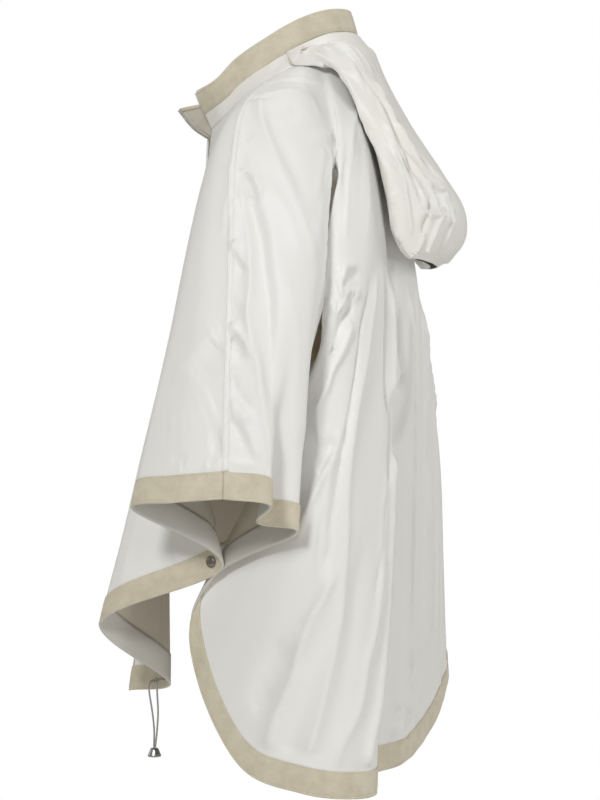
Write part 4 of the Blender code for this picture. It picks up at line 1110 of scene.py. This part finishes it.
HOOD_CREASES = [
    Crease("hood lip", [(300, 62), (320, 68), (340, 79), (353, 88), (359, 108), (366, 125), (375, 146),
            (385, 165), (390, 185), (391, 215), (390, 245)], 0.0036, 0.0032, 0, (0.1, 0.1)),
    Crease("fold 1", [(318, 44), (335, 50), (348, 62), (357, 76), (370, 95), (378, 110), (390, 138),
            (403, 168), (414, 192), (423, 213)], 0.005, 0.0068, 0.4, (0.1, 0.2)),
    Crease("fold 1 hollow", [(352, 62), (366, 82), (378, 100), (392, 128), (405, 155),
            (418, 185)], 0.005, -0.0061, 0, (0.2, 0.2)),
    Crease("fold 2", [(372, 74), (380, 92), (388, 110), (395, 127), (407, 148), (420, 165), (437, 183),
            (455, 203)], 0.0045, 0.0065, 0.3, (0.1, 0.2)),
    Crease("fold 2 hollow", [(380, 80), (392, 106), (402, 128), (416, 150), (432, 168),
            (450, 185)], 0.005, -0.0061, 0, (0.2, 0.2)),
    Crease("fold 3", [(384, 118), (396, 143), (408, 166), (420, 190), (428, 213),
            (431, 232)], 0.004, 0.0051, 0.3, (0.1, 0.3)),
    Crease("fold 4", [(386, 140), (394, 160), (402, 180), (408, 205),
            (412, 240)], 0.004, 0.0051, 0.3, (0.2, 0.2)),
    Crease("fold 5", [(394, 186), (398, 212), (405, 245)], 0.0036, 0.0044, 0.2, (0.2, 0.2)),
    Crease("fold 6", [(398, 142), (412, 162), (424, 182), (436, 205),
            (440, 226)], 0.004, 0.0048, 0.2, (0.1, 0.3)),
    Crease("fold 7", [(446, 206), (438, 222), (430, 240), (424, 254)], 0.004, 0.0054, -0.3, (0.2, 0.1)),
    Crease("fold 8", [(456, 208), (450, 228), (441, 246), (434, 257)], 0.004, 0.0051, -0.3, (0.2, 0.1)),
    Crease("fold 9", [(396, 226), (403, 240), (412, 256)], 0.004, 0.0044, 0, (0.2, 0.1)),
    Crease("fold 10", [(392, 122), (404, 140), (416, 158)], 0.0035, 0.0041, 0.2, (0.2, 0.3)),
    Crease("facet 1", [(421, 180), (431, 186), (444, 190)], 0.004, 0.0051, 0, (0.3, 0.2)),
    Crease("facet 2", [(415, 208), (427, 214), (444, 214)], 0.004, 0.0048, 0, (0.3, 0.2)),
    Crease("facet 3", [(430, 195), (427, 215), (420, 236)], 0.004, -0.0051, 0, (0.3, 0.3)),
    Crease("facet 4", [(400, 155), (413, 178), (422, 202)], 0.004, -0.0051, 0, (0.3, 0.3)),
    Crease("facet 5", [(413, 256), (421, 243), (425, 232)], 0.004, 0.0044, 0, (0.3, 0.3)),
    Crease("facet 6", [(443, 195), (450, 205), (452, 222)], 0.0035, 0.0044, 0, (0.3, 0.3)),
    Crease("gather 1", [(301, 52), (312, 52), (324, 57), (340, 68),
            (352, 76)], 0.0035, 0.0032, 0.2, (0.0, 0.3)),
    Crease("gather 2", [(326, 41), (343, 43), (358, 56), (368, 76)], 0.0035, 0.0028, 0.2, (0.0, 0.4)),
    Crease("gather 3", [(341, 40), (355, 46), (368, 60), (380, 82)], 0.0035, 0.0026, 0.2, (0.0, 0.4)),
    Crease("gather 4", [(332, 42), (346, 52), (358, 68)], 0.0035, -0.0028, 0, (0.0, 0.4)),
    Crease("gather 5", [(310, 47), (322, 49), (334, 56)], 0.003, 0.0024, 0, (0.0, 0.5)),
    Crease("gather 6", [(306, 51), (318, 54), (330, 61)], 0.003, -0.0024, 0, (0.0, 0.5)),
]


def hood_section(row, side):
    """One level of a hood half: its inner face, round its side and back along its outer face."""
    near = np.array([row.side_x, row.side_y, row.side_z])
    middle = np.array([0.0, row.back_y, row.back_z])
    depth = max(row.back_y - row.side_y, 0.010)
    outer, inner = [], []
    for step in range(HOOD_FACE_COLUMNS + 1):
        angle = math.pi / 2 * step / HOOD_FACE_COLUMNS
        spot = middle + (near - middle) * (1 - math.cos(angle))
        spot[0] = row.side_x * math.sin(angle)
        way = np.array([depth * math.sin(angle), row.side_x * math.cos(angle), 0.0])
        way /= np.linalg.norm(way)
        gap = row.back_gap + (row.side_gap - row.back_gap) * math.sin(angle) ** 2
        outer.append(spot + way * gap)
        inner.append(spot - way * gap)
    turns = [math.pi * step / HOOD_SIDE_COLUMNS for step in range(1, HOOD_SIDE_COLUMNS)]
    end = [near + np.array([math.cos(turn), -math.sin(turn), 0.0]) * row.side_gap for turn in turns]
    return np.array((outer + end + inner[::-1])[::-1])


def collar_run(up_share, away):
    """Places beside the collar's stand, from its middle to where the hood's near end is sewn on."""
    middle = len(COLLAR) - 1
    seam, edge = ([getattr(row, column) for row in COLLAR]
                  + [mirrored(getattr(row, column)) for row in COLLAR[-2::-1]]
                  for column in ("seam", "trim_edge"))
    found = []
    for step in range(HOOD_FACE_COLUMNS + 1):
        place = middle - (middle - HOOD_SEAM_END) * step / HOOD_FACE_COLUMNS
        low, high = on_curve(seam, place), on_curve(edge, place)
        ahead = on_curve(seam, place - 0.05) - on_curve(seam, place + 0.05)
        out = np.cross(high - low, ahead)
        found.append(low + (high - low) * up_share + out / np.linalg.norm(out) * away)
    return np.array(found)


def hood_points():
    """The left half of the hood: up under the collar's trim, then down its levels."""
    levels = [hood_section(row, 1) for row in HOOD]
    outer = levels[0][::-1][:HOOD_FACE_COLUMNS + 1]
    tops = []
    for outside, inside in ((collar_run(0.93, 0.0036), collar_run(0.93, 0.0016)),
                            (collar_run(0.55, 0.0080) * 0.6 + outer * 0.4, collar_run(0.45, 0.0018)),
                            (outer, collar_run(0.15, 0.0019))):
        end = [outside[-1] + (inside[-1] - outside[-1]) * step / HOOD_SIDE_COLUMNS
               for step in range(1, HOOD_SIDE_COLUMNS)]
        tops.append(np.array((list(outside) + end + list(inside[::-1]))[::-1]))
    levels = np.array(tops + levels[1:])
    return np.array([on_curve(levels, (len(levels) - 1) * row / HOOD_ROWS) for row in range(HOOD_ROWS + 1)])


for side in (1, -1):
    points = hood_points()
    share = np.linspace(0, 1, points.shape[1])
    creases = drawn(HOOD_CREASES, points, share)
    if side < 0:
        creases = varied(creases[::2], 9, most=0.09)
    moved = pressed(points, creases, share) + rippled(points, 11.0 * side, 0.02, 0.0010)
    still = eased(np.minimum(share, 1 - share) * 14)
    moved = moved * (0.35 + 0.65 * still)[None, :]
    moved *= eased(np.linspace(0, 7, len(moved)) - 0.15)[:, None]
    points = points + outward(points) * moved[:, :, None]
    points[:, 0, 0] = points[:, -1, 0] = 0.0002
    if side < 0:
        points = points[:, ::-1] * np.array([-1.0, 1.0, 1.0])
    name = "hood_left" if side > 0 else "hood_right"
    # painted shade in the hood's hollows
    hollow = hollow_shade_mask(points, 5, *HOOD_SHADE_DEPTHS)
    half = put(cloth_mesh(name + "_cloth", points, hollow), name + "_cloth", hood_satin, shaded_inner_satin)
    thicken(half, CLOTH_THICKNESS, 0.0, 1)
    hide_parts(name)


# Snap fasteners: a bare domed cap of dark plated metal on each front's trim, below the arm. It
# holds the front's hem to the back's hem, which closes the sleeve.
SNAP_PLACE = 2.84
SNAP_SHAPE = [
    (0.0004, 0.0024), (0.0020, 0.00235), (0.0036, 0.0021), (0.0046, 0.0017), (0.0050, 0.0014),
    (0.0054, 0.0016), (0.0061, 0.0016), (0.0066, 0.0012), (0.0066, 0.0005), (0.0060, 0.0), (0.0004, 0.0)]
snap_metal = metal("Dark snap metal", (0.34, 0.32, 0.29), 0.28, 0.2)


def on_hem(name, place, up_band, distance):
    """A place that far out of a hem band, at a fold number, and the way out there."""
    points = shells[name]
    ways = outward(points)
    row = points.shape[0] - 1 - up_band * BAND_ROWS
    column = np.interp(place, panels[name][1], np.arange(points.shape[1]))
    index = int(column)
    spots, out = between_rows(points, row), between_rows(ways, row)
    spot = spots[index] * (1 - column + index) + spots[index + 1] * (column - index)
    return spot + out[index] * distance, out[index]


for name, side in (("front_left", 1), ("front_right", -1)):
    place = SNAP_PLACE if side > 0 else len(LEFT_FRONT) - 1 - SNAP_PLACE
    spot, way = on_hem(name, place, 0.5, CLOTH_THICKNESS / 2 + 0.0015)
    cap = turned("snap_" + name, SNAP_SHAPE, spot, way, snap_metal)
    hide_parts("snap_cap_left" if side > 0 else "snap_cap_right")


# Eyelets: two nickel-plated rings pressed through the left front's trim. Their rolled lips keep
# the suede from tearing where the drawcord comes out.
EYELET_SHAPE = [
    (0.0017, -0.0004), (0.0016, 0.0004), (0.0018, 0.0008), (0.0024, 0.0010), (0.0030, 0.0007),
    (0.0034, 0.0001), (0.0034, -0.0004), (0.0017, -0.0004)]
for number, place in enumerate((0.55, 0.80), 1):
    spot, way = on_hem("front_left", place, 0.36, CLOTH_THICKNESS / 2 + 0.0018)
    ring = turned(f"eyelet_ring_{number}", EYELET_SHAPE, spot, way, nickel)
    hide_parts(f"eyelet_{number}")


# Zip: metal teeth on pale woven tape, closed down the front below its slider; above it each
# side runs on up the collar's open edge. A flat tab hangs from the slider's pin.
SLIDER_SPOT = Vector((0.0, -0.10956, -0.18443))
SLIDER_SLOPE = 0.16624
SLIDER_CLEAR = 0.0062
TOOTH_PITCH = 0.0026
TOOTH_SIZE = (0.0030, 0.0022, 0.00115)
TAPE_THICKNESS = 0.0005
TAPE_BACK = 0.0012
CHAIN_TAPE = 0.0066
SIDE_TAPE = (-0.0016, 0.0020)
# half outlines of the slider and its tab: across, and up from the slider's middle or the pin
SLIDER_SHAPE = [(0.0014, 0.0057), (0.0030, 0.0050), (0.0040, 0.0036), (0.0041, 0.0012), (0.0035, -0.0024),
                (0.0030, -0.0048), (0.0020, -0.0056)]
SLIDER_PLATES = ((-0.0031, -0.0016), (0.0013, 0.0023))
WEDGE_SHAPE = [(-0.0009, 0.0050), (0.0009, 0.0050), (0.0005, 0.0022), (-0.0005, 0.0022)]
WEDGE_BETWEEN = (-0.0018, 0.0016)
EAR_SHAPE = [(-0.0030, 0.0040), (-0.0052, 0.0040), (-0.0062, 0.0036), (-0.0070, 0.0027), (-0.0070, 0.0013),
             (-0.0062, 0.0004), (-0.0048, -0.0002), (-0.0030, -0.0012)]
EAR_ACROSS = ((-0.0035, -0.0024), (0.0024, 0.0035))
PIN_SPOT = (0.0, -0.0054, 0.0020)
PIN_RADIUS = 0.0007
PIN_LENGTH = 0.0074
TAB_EYE = (0.0011, 0.0019, 0.0038)
TAB_SHAPE = [(0.0018, -0.0010), (0.0019, -0.0094), (0.0026, -0.0106), (0.0033, -0.0122), (0.0033, -0.0226),
             (0.0029, -0.0241), (0.0018, -0.0249)]
TAB_BETWEEN = (0.0001, 0.0016)
TAB_EYE_STEPS = 28
# from the edge or middle of the tapes out to the middle of their teeth, and how far back these lie
SIDE_TEETH_OUT = 0.0024
CHAIN_TEETH_OUT = 0.0009
TEETH_BACK = 0.0002


def toothed(name, sides):
    """Pressed teeth along tapes' edges: the places, ways across and out, and start of each edge."""
    made = bmesh.new()
    for line, across, out, start in sides:
        reach = np.concatenate([[0.0], np.cumsum(np.linalg.norm(np.diff(line, axis=0), axis=1))])
        for step in range(int((reach[-1] - start - TOOTH_PITCH * 0.6) / TOOTH_PITCH) + 1):
            at = start + step * TOOTH_PITCH
            spot, side, way = (Vector([np.interp(at, reach, part[:, axis]) for axis in range(3)])
                               for part in (line, across, out))
            side.normalize()
            along = side.cross(way).normalized()
            turn = Matrix((side, along.cross(side), along)).transposed().to_4x4()
            bmesh.ops.create_cube(made, size=1.0, matrix=Matrix.Translation(spot) @ turn
                                  @ Matrix.Diagonal((*TOOTH_SIZE, 1.0)))
    bmesh.ops.bevel(made, geom=made.edges[:], offset=0.00028, segments=1, affect="EDGES")
    mesh = bpy.data.meshes.new(name)
    made.to_mesh(mesh)
    made.free()
    return put(mesh, name, zip_metal)


def tape(name, line, across, out, reaches):
    """A strip of woven tape behind the teeth, between two distances across."""
    rows = np.array([[spot + side * reach - way * TAPE_BACK for reach in np.linspace(*reaches, 5)]
                     for spot, side, way in zip(line, across, out)])
    strip = put(cloth_mesh(name, rows), name, zip_tape)
    thicken(strip, TAPE_THICKNESS, 0.0)
    return strip


def plate(made, outline, thick, axis):
    """A flat plate with rounded edges, from its outline and where its two faces lie."""
    spots = [list(spot) for spot in outline]
    for spot in spots:
        spot.insert(axis, thick[0])
    face = made.faces.new([made.verts.new(spot) for spot in spots])
    grown = bmesh.ops.extrude_face_region(made, geom=[face])["geom"]
    fresh = [part for part in grown if isinstance(part, bmesh.types.BMVert)]
    way = [0.0, 0.0, 0.0]
    way[axis] = thick[1] - thick[0]
    bmesh.ops.translate(made, vec=way, verts=fresh)
    edges = {edge for vert in fresh + list(face.verts) for edge in vert.link_edges}
    rims = [edge for edge in edges if abs(edge.verts[0].co[axis] - edge.verts[1].co[axis]) < 1e-7]
    bmesh.ops.recalc_face_normals(made, faces=made.faces)
    bmesh.ops.bevel(made, geom=rims, offset=0.00030, segments=3, profile=0.5, affect="EDGES")


def whole(half):
    """A full outline from its right half."""
    return half + [(-across, up) for across, up in reversed(half)]


def placed(made, name, spot, body):
    """A piece made round the slider or pin, turned to the slope of the zip there."""
    slope = Matrix.Rotation(-SLIDER_SLOPE, 4, "X")
    matrix = Matrix.Translation(SLIDER_SPOT) @ slope @ Matrix.Translation(Vector(spot))
    bmesh.ops.transform(made, matrix=matrix, verts=made.verts)
    bmesh.ops.recalc_face_normals(made, faces=made.faces)
    mesh = bpy.data.meshes.new(name)
    made.to_mesh(mesh)
    made.free()
    piece = put(mesh, name, nickel, body=body)
    mesh.set_sharp_from_angle(angle=math.radians(40))
    return piece


zip_metal = metal("Zip teeth metal", (0.70, 0.68, 0.63), 0.34, 0.2)
zip_tape = suede("Woven zip tape", (0.58, 0.555, 0.49), (0.52, 0.50, 0.44))
left_edge, right_edge = shells["front_left"][:, 0], shells["front_right"][:, -1]
middle = (left_edge + right_edge) / 2
middle = middle[middle[:, 2] < SLIDER_SPOT.z - SLIDER_CLEAR][:-2]
drop = np.gradient(middle, axis=0)
across = np.tile([1.0, 0.0, 0.0], (len(middle), 1))
out = np.cross(drop, across)
out /= np.linalg.norm(out, axis=1, keepdims=True)
chain = toothed("zip_teeth_closed", [
    (middle + across * CHAIN_TEETH_OUT * side - out * TEETH_BACK, across, out, start)
    for side, start in ((1, 0.0), (-1, TOOTH_PITCH / 2))])
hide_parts("zip_chain")
tape("zip_tape_closed", middle, across, out, (-CHAIN_TAPE, CHAIN_TAPE))
for side, name in ((1, "left"), (-1, "right")):
    edge = 0 if side > 0 else -1
    next_in = 1 if side > 0 else -2
    front = shells["front_" + name]
    count = int((front[:, edge, 2] > SLIDER_SPOT.z + SLIDER_CLEAR * 0.5).sum())
    line = np.concatenate([collar_points[:, edge], front[1:count, edge]])
    next_line = np.concatenate([collar_points[:, next_in], front[1:count, next_in]])
    out = np.concatenate([collar_ways[:, edge], outward(front)[1:count, edge]])
    across = line - next_line
    across /= np.linalg.norm(across, axis=1, keepdims=True)
    teeth = toothed("zip_teeth_" + name, [
        (line + across * SIDE_TEETH_OUT - out * TEETH_BACK, across, out, TOOTH_PITCH * 0.7)])
    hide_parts("zip_side_" + name)
    tape("zip_tape_" + name, line, across, out, SIDE_TAPE)

made = bmesh.new()
for thick in SLIDER_PLATES:
    plate(made, whole(SLIDER_SHAPE), thick, 1)
plate(made, WEDGE_SHAPE, WEDGE_BETWEEN, 1)
for thick in EAR_ACROSS:
    plate(made, EAR_SHAPE, thick, 0)
bmesh.ops.create_cone(made, cap_ends=True, segments=24, radius1=PIN_RADIUS, radius2=PIN_RADIUS,
                      depth=PIN_LENGTH,
                      matrix=Matrix.Translation(PIN_SPOT) @ Matrix.Rotation(math.pi / 2, 4, "Y"))
slider = placed(made, "zip_slider_metal", (0, 0, 0), "cape")
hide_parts("zip_slider")

made = bmesh.new()
plate(made, whole(TAB_SHAPE), TAB_BETWEEN, 1)
rings = [[made.verts.new((x, radius * math.cos(turn), radius * math.sin(turn)))
          for turn in np.linspace(0, math.tau, TAB_EYE_STEPS, endpoint=False)]
         for x, radius in ((-TAB_EYE[2] / 2, TAB_EYE[0]), (TAB_EYE[2] / 2, TAB_EYE[0]),
                           (TAB_EYE[2] / 2, TAB_EYE[1]), (-TAB_EYE[2] / 2, TAB_EYE[1]))]
for ring, after in zip(rings, rings[1:] + rings[:1]):
    for index in range(TAB_EYE_STEPS):
        made.faces.new((ring[index], ring[index - 1], after[index - 1], after[index]))
tab = placed(made, "zip_pull_tab", PIN_SPOT, "pull_tab")
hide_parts("zip_pull")


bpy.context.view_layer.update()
